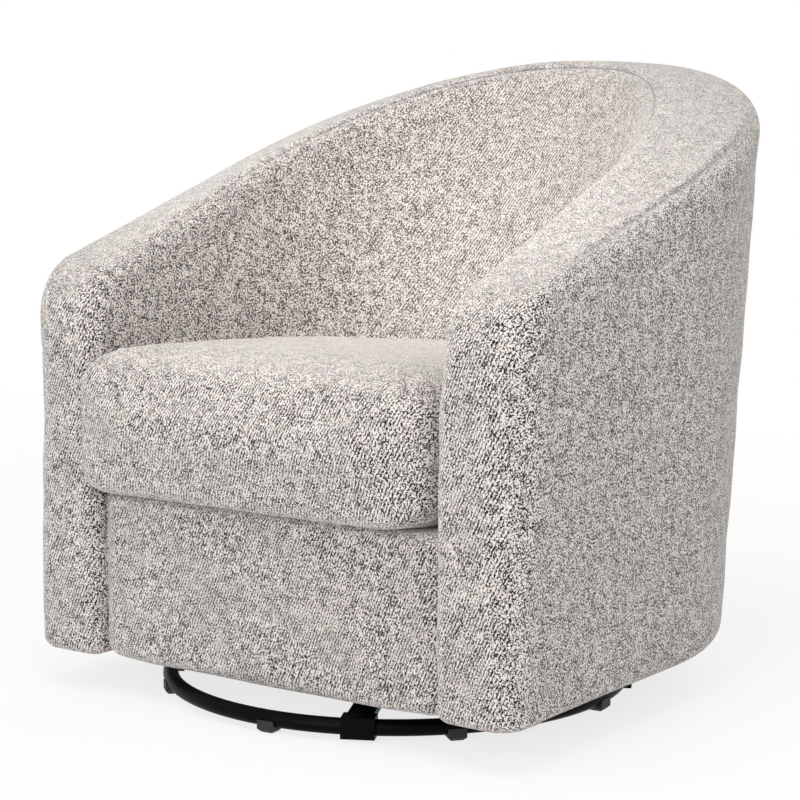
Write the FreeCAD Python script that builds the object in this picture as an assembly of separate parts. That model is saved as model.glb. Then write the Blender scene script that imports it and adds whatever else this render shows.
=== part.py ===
import FreeCAD
import Part

import math
import os

# A barrel-backed armchair on a swivel glider base, in millimetres.
# +Z is up, the seat faces -Y, and the origin is on the floor under the middle of the bounding box.
# A ring base carries a ball-bearing swivel. A carriage turns on it, and the chair hangs from the carriage
# on four equal swing links, so it glides fore and aft while staying level.

V = FreeCAD.Vector
UP = V(0, 0, 1)
ACROSS = V(1, 0, 0)

# Chair body: the tub's outer wall, at its bottom and at the top of the back
BODY_BOTTOM = 47.0
BACK_TOP = 795.0
OUTER_HALF_BOTTOM = 369.0
OUTER_HALF_TOP = 380.0
OUTER_BEND_Y = -21.0
OUTER_BACK_BOTTOM = 284.0
OUTER_BACK_TOP = 422.0
OUTER_POWER = 2.45

# Chair body: the tub's inner wall, at the seat deck and at the top of the back
DECK_Z = 262.0
INNER_HALF_DECK = 258.0
INNER_HALF_TOP = 266.0
INNER_BEND_Y = -110.0
INNER_BACK_DECK = 105.0
INNER_BACK_TOP = 310.0
INNER_POWER = 2.2

# Rim: it climbs in a straight line from the arms to the back
RIM_LEVEL = 666.0
RIM_SLOPE = 0.352
RIM_EDGE = 28.0
NOSE_RADIUS = 84.0

# Arm fronts and front rail
ARM_FRONT_Y = -398.0
ARM_PAD_DEPTH = 63.0
ARM_PAD_BACK_Y = ARM_FRONT_Y + ARM_PAD_DEPTH
ARM_OUTER_EDGE = 56.0
ARM_INNER_EDGE = 20.0
ARM_BOTTOM_EDGE = 16.0
RAIL_FACE_Y = -384.0
RAIL_PAD_HALF = 256.0
RAIL_PAD_TOP = 256.0
RAIL_BOARD_HALF = 292.0
RAIL_BOARD_THICK = 22.0
RAIL_BOARD_BOTTOM = 62.0

# Wall layers, measured inwards from the outer face
STATION_COUNT = 33
LAYER_GAP = 1.0
COVER_THICK = 14.0
INSIDE_PAD_THICK = 36.0
BOTTOM_EDGE_FRONT = 18.0
BOTTOM_EDGE_BACK = 38.0
FLANGE_REACH = 60.0
FRAME_INSET = COVER_THICK + 1.5
HOOP_WIDTH = 34.0
HOOP_DROP = 6.0
SEAT_HOOP_WIDTH = 60.0
PLY_THICK = 18.0
RIB_HALF = 10.0
RIB_STATIONS = (0.0, 0.17, 0.34, 0.55, 0.78, 0.97)

# Seat
SEAT_FRAME_TOP = 250.0
SPRING_WIRE = 3.6
SPRING_BEND = 11.0
SPRING_HALF_RUN = 12.0
SPRING_FRONT_Y = -323.0
SPRING_RUNS = 26
SPRING_RUNS_OUTERMOST = 25
SPRING_SPACING = 100.0
SPRING_COUNT = 5
CLIP_SIZE = (44.0, 16.0, 2.6)
SEAT_DECK_THICK = 3.0
CUSHION_FRONT_Y = -422.0
CUSHION_GAP = 4.0
CUSHION_TOP = 442.0
CUSHION_CORNER = 32.0
CUSHION_TOP_ROLL = 46.0
CUSHION_BOTTOM_ROLL = 34.0
CUSHION_COVER_THICK = 4.0
DUST_COVER_THICK = 1.4
DUST_COVER_INSET = 50.0
DUST_HOLE_RADIUS = 215.0

# Floor base
SWIVEL_Y = -111.0
RING_RADIUS = 291.0
RING_TUBE = 10.0
RING_Z = 16.0
SPOKE_TURN = 27.5
SPOKE_COUNT = 4
SPOKE_WIDTH = 32.0
SPOKE_THICK = 8.0
SADDLE_WIDTH = 41.0
SADDLE_WALL = 3.5
SADDLE_LOW = 4.0
SPOKE_RISE_FROM = 205.0
SPOKE_RISE_TO = 120.0
SPOKE_INNER_END = 40.0
HUB_PLATE_Z = 60.0
HUB_PLATE_RADIUS = 102.0
HUB_PLATE_THICK = 6.0
HUB_BOLT_RADIUS = 57.0
HUB_BOLT = 4.0
FOOT_COUNT = 8
FOOT_HALF_ANGLE = 22.5
FOOT_WIDTH = 23.0
FOOT_DEPTH = 22.0
FOOT_HEIGHT = 15.0
FOOT_CHAMFER = 4.0

# Swivel bearing
RACE_RADIUS = 87.0
RACE_HALF_WIDTH = 11.0
RACE_THICK = 8.0
RACE_GAP = 3.0
BALL = 4.0
BALL_CLEARANCE = 0.3
BALL_COUNT = 18
SWIVEL_BOLT = 6.0
RUNNING_CLEARANCE = 0.05

# Carriage and swing links
SWIVEL_PLATE_HALF_X = 165.0
SWIVEL_PLATE_HALF_Y = 100.0
PLATE_THICK = 6.0
CARRIAGE_RAIL_X = (130.0, 160.0)
CARRIAGE_RAIL_HALF_LENGTH = 160.0
CARRIAGE_RAIL_HEIGHT = 30.0
CARRIAGE_RAIL_WALL = 3.0
PIVOT_Y = 140.0
UPPER_PIVOT_Z = 205.0
LINK_LENGTH = 105.0
POST_X = (160.0, 166.0)
POST_HALF_WIDTH = 20.0
POST_TOP = 221.0
LINK_X = (170.0, 178.0)
LINK_END_RADIUS = 16.0
LINK_HALF_WIDTH = 12.0
PIN = 6.0
PIN_HEAD = 10.0
BUSH = 9.0
HANGER_X = (184.0, 190.0)
HANGER_BELOW_PIVOT = 18.0
BUMPER_RADIUS = 8.0
BUMPER_OFFSET = 65.0
BUMPER_Z = 107.0
GLIDE_RAIL_HALF_LENGTH = 200.0
GLIDE_RAIL_LEG = 40.0
GLIDE_RAIL_WALL = 4.0
SLAT_THICK = 22.0
SLAT_WIDTH = 70.0
SLAT_HALF_LENGTH = 292.0
SCREW = 4.0
SCREW_HEAD = 7.0
SCREW_HEAD_HEIGHT = 5.5
SCREW_LENGTH = 20.0

LOWER_PIVOT_Z = UPPER_PIVOT_Z - LINK_LENGTH
SLAT_Z = SEAT_FRAME_TOP - SLAT_THICK - 3.0
SWIVEL_AXIS = V(0, SWIVEL_Y, 0)


def mix(a, b, share):
    """The value a given share of the way from a to b."""
    return a + (b - a) * share


def box(x0, x1, y0, y1, z0, z1):
    """A block between two corners."""
    return Part.makeBox(x1 - x0, y1 - y0, z1 - z0, V(x0, y0, z0))


def polygon(points):
    """A closed wire of straight edges."""
    return Part.makePolygon(list(points) + [points[0]])


def cylinder_across(radius, x0, x1, y, z):
    """A round bar along X."""
    return Part.makeCylinder(radius, x1 - x0, V(x0, y, z), ACROSS)


def hexagon(radius, height, at, direction=UP):
    """A hexagonal head or nut, with its corners on the radius."""
    corners = [V(radius * math.cos(k * math.pi / 3), radius * math.sin(k * math.pi / 3), 0) for k in range(6)]
    head = Part.Face(polygon(corners)).extrude(V(0, 0, height))
    head.Placement = FreeCAD.Placement(at, FreeCAD.Rotation(UP, direction))
    return head


def about_swivel(shape, angle):
    """A copy of a piece made along +X from the swivel axis, turned to its angle about that axis."""
    turned = shape.copy()
    turned.rotate(V(0, 0, 0), UP, angle)
    turned.translate(SWIVEL_AXIS)
    return turned


def mirrored(shape):
    """The same piece on the chair's other side."""
    return shape.mirror(V(0, 0, 0), ACROSS)


# Tub wall surfaces: u runs from -1 at the left arm front, through 0 at the back, to 1 at the right arm front

def tub_plan(u, half_width, bend_y, back_y, power):
    """A U in plan: straight sides to bend_y, then half a superellipse round the back."""
    side = math.copysign(1.0, u)
    reach = abs(u)
    if reach >= 0.5:
        return side * half_width, mix(bend_y, ARM_PAD_BACK_Y, 2 * reach - 1)
    angle = (1 - 2 * reach) * math.pi / 2
    c, s = math.cos(angle), math.sin(angle)
    k = (c ** power + s ** power) ** (1 / power)
    return side * half_width * c / k, bend_y + (back_y - bend_y) * s / k


def outer_point(u, z):
    """A point of the outer wall. The wall leans out evenly from its bottom to its top."""
    share = (z - BODY_BOTTOM) / (BACK_TOP - BODY_BOTTOM)
    half = mix(OUTER_HALF_BOTTOM, OUTER_HALF_TOP, share)
    back = mix(OUTER_BACK_BOTTOM, OUTER_BACK_TOP, share)
    x, y = tub_plan(u, half, OUTER_BEND_Y, back, OUTER_POWER)
    return V(x, y, z)


def inner_point(u, z):
    """A point of the inner wall, which reclines more than the outer one."""
    share = (z - DECK_Z) / (BACK_TOP - DECK_Z)
    half = mix(INNER_HALF_DECK, INNER_HALF_TOP, share)
    back = mix(INNER_BACK_DECK, INNER_BACK_TOP, share)
    x, y = tub_plan(u, half, INNER_BEND_Y, back, INNER_POWER)
    return V(x, y, z)


def inward(u, z=DECK_Z):
    """The level direction across the wall, from outside to inside."""
    return (inner_point(u, z) - outer_point(u, z)).normalize()


def rim_height(u):
    """The top of the rim, which rises evenly with the middle of the wall's place in depth."""
    z = RIM_LEVEL
    for _ in range(4):
        middle_y = (outer_point(u, z).y + inner_point(u, z).y) / 2
        z = RIM_LEVEL + RIM_SLOPE * middle_y
    return z


def wall_top(u):
    """The height of the seam under the rim band, where the wall's layers end."""
    return rim_height(u) - RIM_EDGE - LAYER_GAP


def bottom_edge(u):
    """The radius of the rounded bottom edge, which grows towards the back."""
    return mix(BOTTOM_EDGE_BACK, BOTTOM_EDGE_FRONT, abs(u))


STATIONS = [-1 + 2 * k / (STATION_COUNT - 1) for k in range(STATION_COUNT)]


def along_wall(section, stations=STATIONS, ruled=False):
    """A solid through the wall's sections."""
    return Part.makeLoft([section(u) for u in stations], True, ruled)


def frame_quad(u, inset, width, low, high):
    """A four-cornered section of a frame piece, standing a given inset from the outer face."""
    across = inward(u)
    foot, head = outer_point(u, low), outer_point(u, high)
    near, far = across * inset, across * (inset + width)
    return polygon([foot + near, head + near, head + far, foot + far])


# Upholstery

def rim_band():
    """The boxing strip over the top of the wall, with both long edges rounded."""
    def section(u):
        z = rim_height(u) - RIM_EDGE
        outer, inner = outer_point(u, z), inner_point(u, z)
        across = (inner - outer).normalize()
        start, half = RIM_EDGE * (1 - math.sqrt(0.5)), RIM_EDGE * math.sqrt(0.5)
        outer_top = outer + across * RIM_EDGE + UP * RIM_EDGE
        inner_top = inner - across * RIM_EDGE + UP * RIM_EDGE
        edges = [
            Part.Arc(outer, outer + across * start + UP * half, outer_top).toShape(),
            Part.LineSegment(outer_top, inner_top).toShape(),
            Part.Arc(inner_top, inner - across * start + UP * half, inner).toShape(),
            Part.LineSegment(inner, outer).toShape(),
        ]
        return Part.Wire(edges)
    return along_wall(section)


def outside_cover():
    """The padded outside panel, turned under at the bottom in a rounded edge and a flat flange."""
    def section(u):
        across = inward(u)
        r = bottom_edge(u)
        lean_low = outer_point(u, BODY_BOTTOM + r)
        top = outer_point(u, wall_top(u))
        thick = across * COVER_THICK
        toe = lean_low + across * r - UP * r
        heel = lean_low + across * FLANGE_REACH - UP * r
        bend, small = r * math.sqrt(0.5), (r - COVER_THICK) * math.sqrt(0.5)
        centre = lean_low + across * r
        toe_in = toe + UP * COVER_THICK
        edges = [
            Part.LineSegment(top, lean_low).toShape(),
            Part.Arc(lean_low, centre - across * bend - UP * bend, toe).toShape(),
            Part.LineSegment(toe, heel).toShape(),
            Part.LineSegment(heel, heel + UP * COVER_THICK).toShape(),
            Part.LineSegment(heel + UP * COVER_THICK, toe_in).toShape(),
            Part.Arc(toe_in, centre - across * small - UP * small, lean_low + thick).toShape(),
            Part.LineSegment(lean_low + thick, top + thick).toShape(),
            Part.LineSegment(top + thick, top).toShape(),
        ]
        return Part.Wire(edges)
    return along_wall(section)


def inside_back_pad():
    """The foam and cover of the inside back and arms, from the seat deck to the rim."""
    def section(u):
        low, high = inner_point(u, DECK_Z), inner_point(u, wall_top(u))
        back = inward(u) * -INSIDE_PAD_THICK
        return polygon([low, high, high + back, low + back])
    return along_wall(section)


def rounding(radius, depth):
    """How far a rounded edge has drawn in, at a depth behind the face that it rounds off."""
    short = max(0.0, radius - depth)
    return radius - math.sqrt(radius ** 2 - short ** 2)


def nose_height(depth):
    """The arm's top at a depth behind its front: a round nose that runs into the sloping rim."""
    slope_angle = math.atan(RIM_SLOPE)
    corner = rim_height(1.0) - RIM_SLOPE * ARM_PAD_DEPTH
    centre = corner - NOSE_RADIUS * math.tan((math.pi / 2 - slope_angle) / 2)
    if depth >= NOSE_RADIUS * (1 - math.sin(slope_angle)):
        return corner + RIM_SLOPE * depth
    return centre + NOSE_RADIUS - rounding(NOSE_RADIUS, depth)


def arm_front():
    """The right arm's front pad, through upright sections from its flat face to the start of the rim."""
    def section(depth):
        y = ARM_FRONT_Y + depth
        low = BODY_BOTTOM + rounding(ARM_BOTTOM_EDGE, depth)
        high = nose_height(depth)
        foot_x = OUTER_HALF_BOTTOM - rounding(ARM_OUTER_EDGE, depth)
        head_x = outer_point(1.0, high).x - rounding(ARM_OUTER_EDGE, depth)
        inner_x = INNER_HALF_DECK + rounding(ARM_INNER_EDGE, depth)
        r = min(RIM_EDGE, 0.4 * (head_x - inner_x))
        b = min(ARM_BOTTOM_EDGE, 0.4 * (foot_x - inner_x))
        tuck_r, tuck_b = r * (1 - math.sqrt(0.5)), b * (1 - math.sqrt(0.5))
        outer_low, outer_high = V(foot_x, y, low + b), V(head_x, y, high - r)
        top_outer, top_inner = V(head_x - r, y, high), V(inner_x + r, y, high)
        inner_high, inner_low = V(inner_x, y, high - r), V(inner_x, y, low + b)
        foot_inner, foot_outer = V(inner_x + b, y, low), V(foot_x - b, y, low)
        edges = [
            Part.LineSegment(outer_low, outer_high).toShape(),
            Part.Arc(outer_high, V(head_x - tuck_r, y, high - tuck_r), top_outer).toShape(),
            Part.LineSegment(top_outer, top_inner).toShape(),
            Part.Arc(top_inner, V(inner_x + tuck_r, y, high - tuck_r), inner_high).toShape(),
            Part.LineSegment(inner_high, inner_low).toShape(),
            Part.Arc(inner_low, V(inner_x + tuck_b, y, low + tuck_b), foot_inner).toShape(),
            Part.LineSegment(foot_inner, foot_outer).toShape(),
            Part.Arc(foot_outer, V(foot_x - tuck_b, y, low + tuck_b), outer_low).toShape(),
        ]
        return Part.Wire(edges)
    last = ARM_PAD_DEPTH - 0.5
    depths = [last * (1 - math.cos(math.pi / 2 * k / 10)) for k in range(11)]
    return Part.makeLoft([section(depth) for depth in depths], True, False)


def front_rail_pad():
    """The padded panel across the front, between the arms."""
    pad = box(-RAIL_PAD_HALF, RAIL_PAD_HALF, RAIL_FACE_Y, ARM_PAD_BACK_Y - 0.5, BODY_BOTTOM, RAIL_PAD_TOP)
    front = [e for e in pad.Edges if all(abs(v.Y - RAIL_FACE_Y) < 0.1 for v in e.Vertexes)]
    level = [e for e in front if abs(e.Vertexes[0].Z - e.Vertexes[1].Z) < 0.1]
    return pad.makeFillet(ARM_BOTTOM_EDGE, level)


def cushion_outline(z, inset):
    """The cushion's closed outline at a height: a straight front with round corners, and the tub's U behind."""
    half = inner_point(1.0, DECK_Z).x - CUSHION_GAP
    front_y = CUSHION_FRONT_Y
    points = [V((half - CUSHION_CORNER) * k / 6, front_y, z) for k in range(1, 6)]
    for k in range(5):
        angle = math.pi / 2 * k / 4
        x = half - CUSHION_CORNER * (1 - math.sin(angle))
        y = front_y + CUSHION_CORNER * (1 - math.cos(angle))
        points.append(V(x, y, z))
    for k in range(1, 7):
        points.append(V(half, mix(front_y + CUSHION_CORNER, INNER_BEND_Y, k / 7), z))
    for k in range(0, 10):
        u = 0.5 * (1 - k / 9)
        wall = inner_point(u, z)
        share = (abs(wall.y - INNER_BEND_Y)) / (inner_point(0.0, z).y - INNER_BEND_Y)
        points.append(V(wall.x * half / inner_point(0.5, z).x, wall.y - CUSHION_GAP * share, z))
    right = points[:-1]
    left = [V(-p.x, p.y, p.z) for p in reversed(right)]
    whole = [V(0, front_y, z)] + right + [points[-1]] + left
    middle = (front_y + points[-1].y) / 2
    half_depth = (points[-1].y - front_y) / 2
    squeeze_x, squeeze_y = 1 - inset / half, 1 - inset / half_depth
    whole = [V(p.x * squeeze_x, middle + (p.y - middle) * squeeze_y, z) for p in whole]
    curve = Part.BSplineCurve()
    curve.interpolate(Points=whole, PeriodicFlag=True)
    return Part.Wire([curve.toShape()])


def cushion(skin):
    """The cushion's solid, drawn in by the thickness of a skin, with rolled top and bottom edges."""
    low, high = DECK_Z + skin, CUSHION_TOP - skin
    sections = []
    steps = 4
    for k in range(steps + 1):
        angle = math.pi / 2 * k / steps
        inset = CUSHION_BOTTOM_ROLL * (1 - math.sin(angle))
        sections.append((low + CUSHION_BOTTOM_ROLL * (1 - math.cos(angle)), inset))
    for k in range(steps + 1):
        angle = math.pi / 2 * k / steps
        inset = CUSHION_TOP_ROLL * (1 - math.cos(angle))
        sections.append((high - CUSHION_TOP_ROLL * (1 - math.sin(angle)), inset))
    return Part.makeLoft([cushion_outline(z, inset + skin) for z, inset in sections], True, False)


def dust_cover():
    """The cloth stapled under the chair, with a round opening for the swivel base."""
    z = BODY_BOTTOM - LAYER_GAP / 4 - DUST_COVER_THICK
    rim = [outer_point(u, BODY_BOTTOM) + inward(u) * DUST_COVER_INSET for u in STATIONS]
    curve = Part.BSplineCurve()
    curve.interpolate(Points=[V(p.x, p.y, z) for p in rim])
    ends = [curve.EndPoint, curve.StartPoint]
    outline = Part.Wire([curve.toShape(), Part.LineSegment(ends[0], ends[1]).toShape()])
    sheet = Part.Face(outline).extrude(V(0, 0, DUST_COVER_THICK))
    hole = Part.makeCylinder(DUST_HOLE_RADIUS, 4 * DUST_COVER_THICK, SWIVEL_AXIS + UP * (z - DUST_COVER_THICK))
    return sheet.cut(hole)


# Timber frame and seat suspension

def bottom_hoop():
    """The plywood hoop at the foot of the wall, lying on the outside cover's flange."""
    low = BODY_BOTTOM + COVER_THICK + 0.3
    return along_wall(lambda u: frame_quad(u, bottom_edge(u) + 1, HOOP_WIDTH, low, low + PLY_THICK))


def seat_hoop():
    """The plywood hoop at seat height."""
    low = SEAT_FRAME_TOP - PLY_THICK
    return along_wall(lambda u: frame_quad(u, FRAME_INSET, SEAT_HOOP_WIDTH, low, SEAT_FRAME_TOP))


def hoop_top(u):
    """The top of the upper hoop, which lies a little under the rim band's padding."""
    return wall_top(u) - HOOP_DROP


def top_hoop():
    """The plywood hoop under the rim band."""
    def section(u):
        return frame_quad(u, FRAME_INSET, HOOP_WIDTH, hoop_top(u) - PLY_THICK, hoop_top(u))
    return along_wall(section)


def ribs(inset, low, high):
    """Upright ribs between two hoops, one at each rib station."""
    upright = []
    for reach in RIB_STATIONS:
        for u in {reach, -reach}:
            step = 0.001
            speed = (outer_point(u + step, DECK_Z) - outer_point(u - step, DECK_Z)).Length / (2 * step)
            near, far = u - RIB_HALF / speed, u + RIB_HALF / speed
            quads = [frame_quad(v, inset(v), HOOP_WIDTH, low, high(v)) for v in (near, far)]
            upright.append(Part.makeLoft(quads, True, True))
    return Part.makeCompound(upright)


def lower_ribs():
    """Ribs from the bottom hoop to the seat hoop."""
    low = BODY_BOTTOM + COVER_THICK + 0.6 + PLY_THICK
    return ribs(lambda u: bottom_edge(u) + 1, low, lambda u: SEAT_FRAME_TOP - PLY_THICK - 0.3)


def upper_ribs():
    """Ribs from the seat hoop to the top hoop."""
    return ribs(lambda u: FRAME_INSET, SEAT_FRAME_TOP + 0.3, lambda u: hoop_top(u) - PLY_THICK - 0.5)


def front_rail_board():
    """The board across the front, which carries the springs' front ends."""
    back_y = ARM_PAD_BACK_Y + RAIL_BOARD_THICK
    return box(-RAIL_BOARD_HALF, RAIL_BOARD_HALF, ARM_PAD_BACK_Y, back_y, RAIL_BOARD_BOTTOM, SEAT_FRAME_TOP)


def corner_blocks():
    """Glued blocks behind the front rail's two ends."""
    y = ARM_PAD_BACK_Y + RAIL_BOARD_THICK
    block = box(RAIL_BOARD_HALF - 30, RAIL_BOARD_HALF, y, y + 30, RAIL_BOARD_BOTTOM + 30, SLAT_Z)
    return Part.makeCompound([block, mirrored(block)])


def mounting_slat(y):
    """A cross slat that the glide rails are screwed to."""
    slat = box(-SLAT_HALF_LENGTH, SLAT_HALF_LENGTH, y - SLAT_WIDTH / 2, y + SLAT_WIDTH / 2,
               SLAT_Z, SLAT_Z + SLAT_THICK)
    for x, hole_y in screw_places():
        if abs(hole_y - y) < SLAT_WIDTH / 2:
            slat = slat.cut(Part.makeCylinder(SCREW, SCREW_LENGTH, V(x, hole_y, SLAT_Z)))
    return slat


def spring_runs(x):
    """How many bends a spring has: the outermost ones are shorter, where the tub curves in."""
    return SPRING_RUNS_OUTERMOST if abs(x) > 1.5 * SPRING_SPACING else SPRING_RUNS


def seat_spring(x):
    """One sinuous wire spring, from the front rail to the back of the seat hoop."""
    z = SEAT_FRAME_TOP + SPRING_WIRE / 2 + 0.2
    pitch = 2 * SPRING_BEND
    runs = spring_runs(x)
    edges = []
    for k in range(runs + 1):
        y = SPRING_FRONT_Y + k * pitch
        side = 1 if k % 2 == 0 else -1
        start, end = V(x - side * SPRING_HALF_RUN, y, z), V(x + side * SPRING_HALF_RUN, y, z)
        edges.append(Part.LineSegment(start, end).toShape())
        if k < runs:
            crest = V(x + side * (SPRING_HALF_RUN + SPRING_BEND), y + SPRING_BEND, z)
            edges.append(Part.Arc(end, crest, V(end.x, y + pitch, z)).toShape())
    path = Part.Wire(edges)
    start = V(x - SPRING_HALF_RUN, SPRING_FRONT_Y, z)
    ring = Part.Wire([Part.Circle(start, ACROSS, SPRING_WIRE / 2).toShape()])
    return path.makePipeShell([ring], True, False)


def spring_places():
    """The X of each seat spring."""
    first = -SPRING_SPACING * (SPRING_COUNT - 1) / 2
    return [first + k * SPRING_SPACING for k in range(SPRING_COUNT)]


def seat_springs():
    """The row of seat springs."""
    return Part.makeCompound([seat_spring(x) for x in spring_places()])


def spring_clips():
    """The clip plates that hold the springs' ends down."""
    width, depth, thick = CLIP_SIZE
    low = SEAT_FRAME_TOP + SPRING_WIRE + 0.5
    plates = []
    for x in spring_places():
        for y in (SPRING_FRONT_Y, SPRING_FRONT_Y + spring_runs(x) * 2 * SPRING_BEND):
            plates.append(box(x - width / 2, x + width / 2, y - depth / 2, y + depth / 2, low, low + thick))
    return Part.makeCompound(plates)


def seat_deck():
    """The deck cloth between the springs and the cushion."""
    high = DECK_Z - 0.5
    half = INNER_HALF_DECK - 4
    back_y = INNER_BACK_DECK - 30
    return box(-half, half, ARM_PAD_BACK_Y, back_y, high - SEAT_DECK_THICK, high)


# Floor base

def base_ring():
    """The tube hoop on the floor."""
    return Part.makeTorus(RING_RADIUS, RING_TUBE, SWIVEL_AXIS + UP * RING_Z)


def spoke():
    """A flat bar along +X, with a sleeve round the ring tube, rising to the hub plate."""
    outer = RING_RADIUS + RING_TUBE + SADDLE_WALL
    inner = RING_RADIUS - RING_TUBE - SADDLE_WALL
    high = RING_Z + RING_TUBE + SADDLE_WALL
    half = SADDLE_WIDTH / 2
    sleeve = box(inner, outer, -half, half, SADDLE_LOW, high)
    flat_low = high - SPOKE_THICK
    hub_low = HUB_PLATE_Z - SPOKE_THICK
    profile = [
        V(inner + 2, -SPOKE_WIDTH / 2, flat_low), V(SPOKE_RISE_FROM, -SPOKE_WIDTH / 2, flat_low),
        V(SPOKE_RISE_TO, -SPOKE_WIDTH / 2, hub_low), V(SPOKE_INNER_END, -SPOKE_WIDTH / 2, hub_low),
        V(SPOKE_INNER_END, -SPOKE_WIDTH / 2, HUB_PLATE_Z), V(SPOKE_RISE_TO, -SPOKE_WIDTH / 2, HUB_PLATE_Z),
        V(SPOKE_RISE_FROM, -SPOKE_WIDTH / 2, high), V(inner + 2, -SPOKE_WIDTH / 2, high),
    ]
    bar = Part.Face(polygon(profile)).extrude(V(0, SPOKE_WIDTH, 0))
    tube = Part.makeTorus(RING_RADIUS, RING_TUBE + RUNNING_CLEARANCE, V(0, 0, RING_Z))
    hole = Part.makeCylinder(HUB_BOLT + 0.1, 4 * SPOKE_THICK, V(HUB_BOLT_RADIUS, 0, hub_low - SPOKE_THICK))
    return sleeve.fuse(bar).removeSplitter().cut(tube).cut(hole)


def floor_feet():
    """Plastic glides clipped under the ring, one each side of every spoke."""
    foot = box(RING_RADIUS - FOOT_DEPTH / 2, RING_RADIUS + FOOT_DEPTH / 2, -FOOT_WIDTH / 2, FOOT_WIDTH / 2,
               0, FOOT_HEIGHT)
    low = [e for e in foot.Edges if all(abs(v.Z) < 0.01 for v in e.Vertexes)]
    foot = foot.makeChamfer(FOOT_CHAMFER, low)
    foot = foot.cut(Part.makeTorus(RING_RADIUS, RING_TUBE + RUNNING_CLEARANCE, V(0, 0, RING_Z)))
    turns = [SPOKE_TURN + FOOT_HALF_ANGLE + 360 / FOOT_COUNT * k for k in range(FOOT_COUNT)]
    return Part.makeCompound([about_swivel(foot, turn) for turn in turns])


def spoke_angles():
    """Where the spokes stand round the swivel axis."""
    return [SPOKE_TURN + 360 / SPOKE_COUNT * k for k in range(SPOKE_COUNT)]


def hub_plate():
    """The round plate on the spokes' inner ends, drilled for the hub bolts and the swivel bolt."""
    plate = Part.makeCylinder(HUB_PLATE_RADIUS, HUB_PLATE_THICK, V(0, 0, HUB_PLATE_Z))
    low = HUB_PLATE_Z - HUB_PLATE_THICK
    plate = plate.cut(Part.makeCylinder(SWIVEL_BOLT + 0.02, 4 * HUB_PLATE_THICK, V(0, 0, low)))
    for k in range(SPOKE_COUNT):
        at = V(HUB_BOLT_RADIUS, 0, low)
        hole = Part.makeCylinder(HUB_BOLT + 0.1, 4 * HUB_PLATE_THICK, at)
        hole.rotate(V(0, 0, 0), UP, 360 / SPOKE_COUNT * k)
        plate = plate.cut(hole)
    return about_swivel(plate, SPOKE_TURN)


def hub_bolts():
    """Bolts up through each spoke and the hub plate."""
    low = HUB_PLATE_Z - SPOKE_THICK
    length = SPOKE_THICK + HUB_PLATE_THICK + 8
    bolt = Part.makeCylinder(HUB_BOLT, length, V(HUB_BOLT_RADIUS, 0, low))
    bolt = bolt.fuse(hexagon(1.85 * HUB_BOLT, 5, V(HUB_BOLT_RADIUS, 0, low - 5))).removeSplitter()
    return Part.makeCompound([about_swivel(bolt, angle) for angle in spoke_angles()])


def hub_nuts():
    """Nuts on the hub bolts, inside the bearing."""
    z = HUB_PLATE_Z + HUB_PLATE_THICK
    nut = hexagon(1.85 * HUB_BOLT, 6, V(HUB_BOLT_RADIUS, 0, z))
    nut = nut.cut(Part.makeCylinder(HUB_BOLT + 0.02, 12, V(HUB_BOLT_RADIUS, 0, z - 3)))
    return Part.makeCompound([about_swivel(nut, angle) for angle in spoke_angles()])


LOWER_RACE_Z = HUB_PLATE_Z + HUB_PLATE_THICK
BALL_Z = LOWER_RACE_Z + RACE_THICK + RACE_GAP / 2
UPPER_RACE_Z = LOWER_RACE_Z + RACE_THICK + RACE_GAP
SWIVEL_PLATE_Z = UPPER_RACE_Z + RACE_THICK
CARRIAGE_Z = SWIVEL_PLATE_Z + PLATE_THICK


def bearing_race(z):
    """A flat ring with a groove for the balls."""
    ring = Part.makeCylinder(RACE_RADIUS + RACE_HALF_WIDTH, RACE_THICK, V(0, 0, z))
    ring = ring.cut(Part.makeCylinder(RACE_RADIUS - RACE_HALF_WIDTH, 3 * RACE_THICK, V(0, 0, z - RACE_THICK)))
    groove = Part.makeTorus(RACE_RADIUS, BALL + BALL_CLEARANCE, V(0, 0, BALL_Z))
    return about_swivel(ring.cut(groove), 0)


def ball_places():
    """Where the balls stand round the swivel axis."""
    return [360 / BALL_COUNT * k for k in range(BALL_COUNT)]


def bearing_balls():
    """The ring of balls."""
    ball = Part.makeSphere(BALL, V(RACE_RADIUS, 0, BALL_Z))
    return Part.makeCompound([about_swivel(ball, angle) for angle in ball_places()])


def ball_cage():
    """The thin ring that spaces the balls."""
    thick = RACE_GAP / 3
    low = BALL_Z - thick / 2
    ring = Part.makeCylinder(RACE_RADIUS + 7, thick, V(0, 0, low))
    ring = ring.cut(Part.makeCylinder(RACE_RADIUS - 7, 3 * thick, V(0, 0, low - thick)))
    pocket = Part.makeCylinder(BALL + BALL_CLEARANCE, 3 * thick, V(RACE_RADIUS, 0, low - thick))
    for angle in ball_places():
        turned = pocket.copy()
        turned.rotate(V(0, 0, 0), UP, angle)
        ring = ring.cut(turned)
    return about_swivel(ring, 0)


WASHER_Z = CARRIAGE_Z + 0.3
WASHER_THICK = 2.5
NUT_HEIGHT = 10.0


def swivel_bolt():
    """The bolt on the swivel axis, with its head under the hub plate."""
    head_height = 8.0
    length = WASHER_Z + WASHER_THICK + NUT_HEIGHT + 3 - HUB_PLATE_Z
    shank = Part.makeCylinder(SWIVEL_BOLT, length, V(0, 0, HUB_PLATE_Z))
    head = hexagon(1.8 * SWIVEL_BOLT, head_height, V(0, 0, HUB_PLATE_Z - head_height))
    return about_swivel(shank.fuse(head).removeSplitter(), 0)


def swivel_washer():
    """The thrust washer over the swivel plate."""
    z = WASHER_Z
    washer = Part.makeCylinder(3 * SWIVEL_BOLT, WASHER_THICK, V(0, 0, z))
    bore = Part.makeCylinder(SWIVEL_BOLT + 0.02, 3 * WASHER_THICK, V(0, 0, z - WASHER_THICK))
    return about_swivel(washer.cut(bore), 0)


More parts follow.
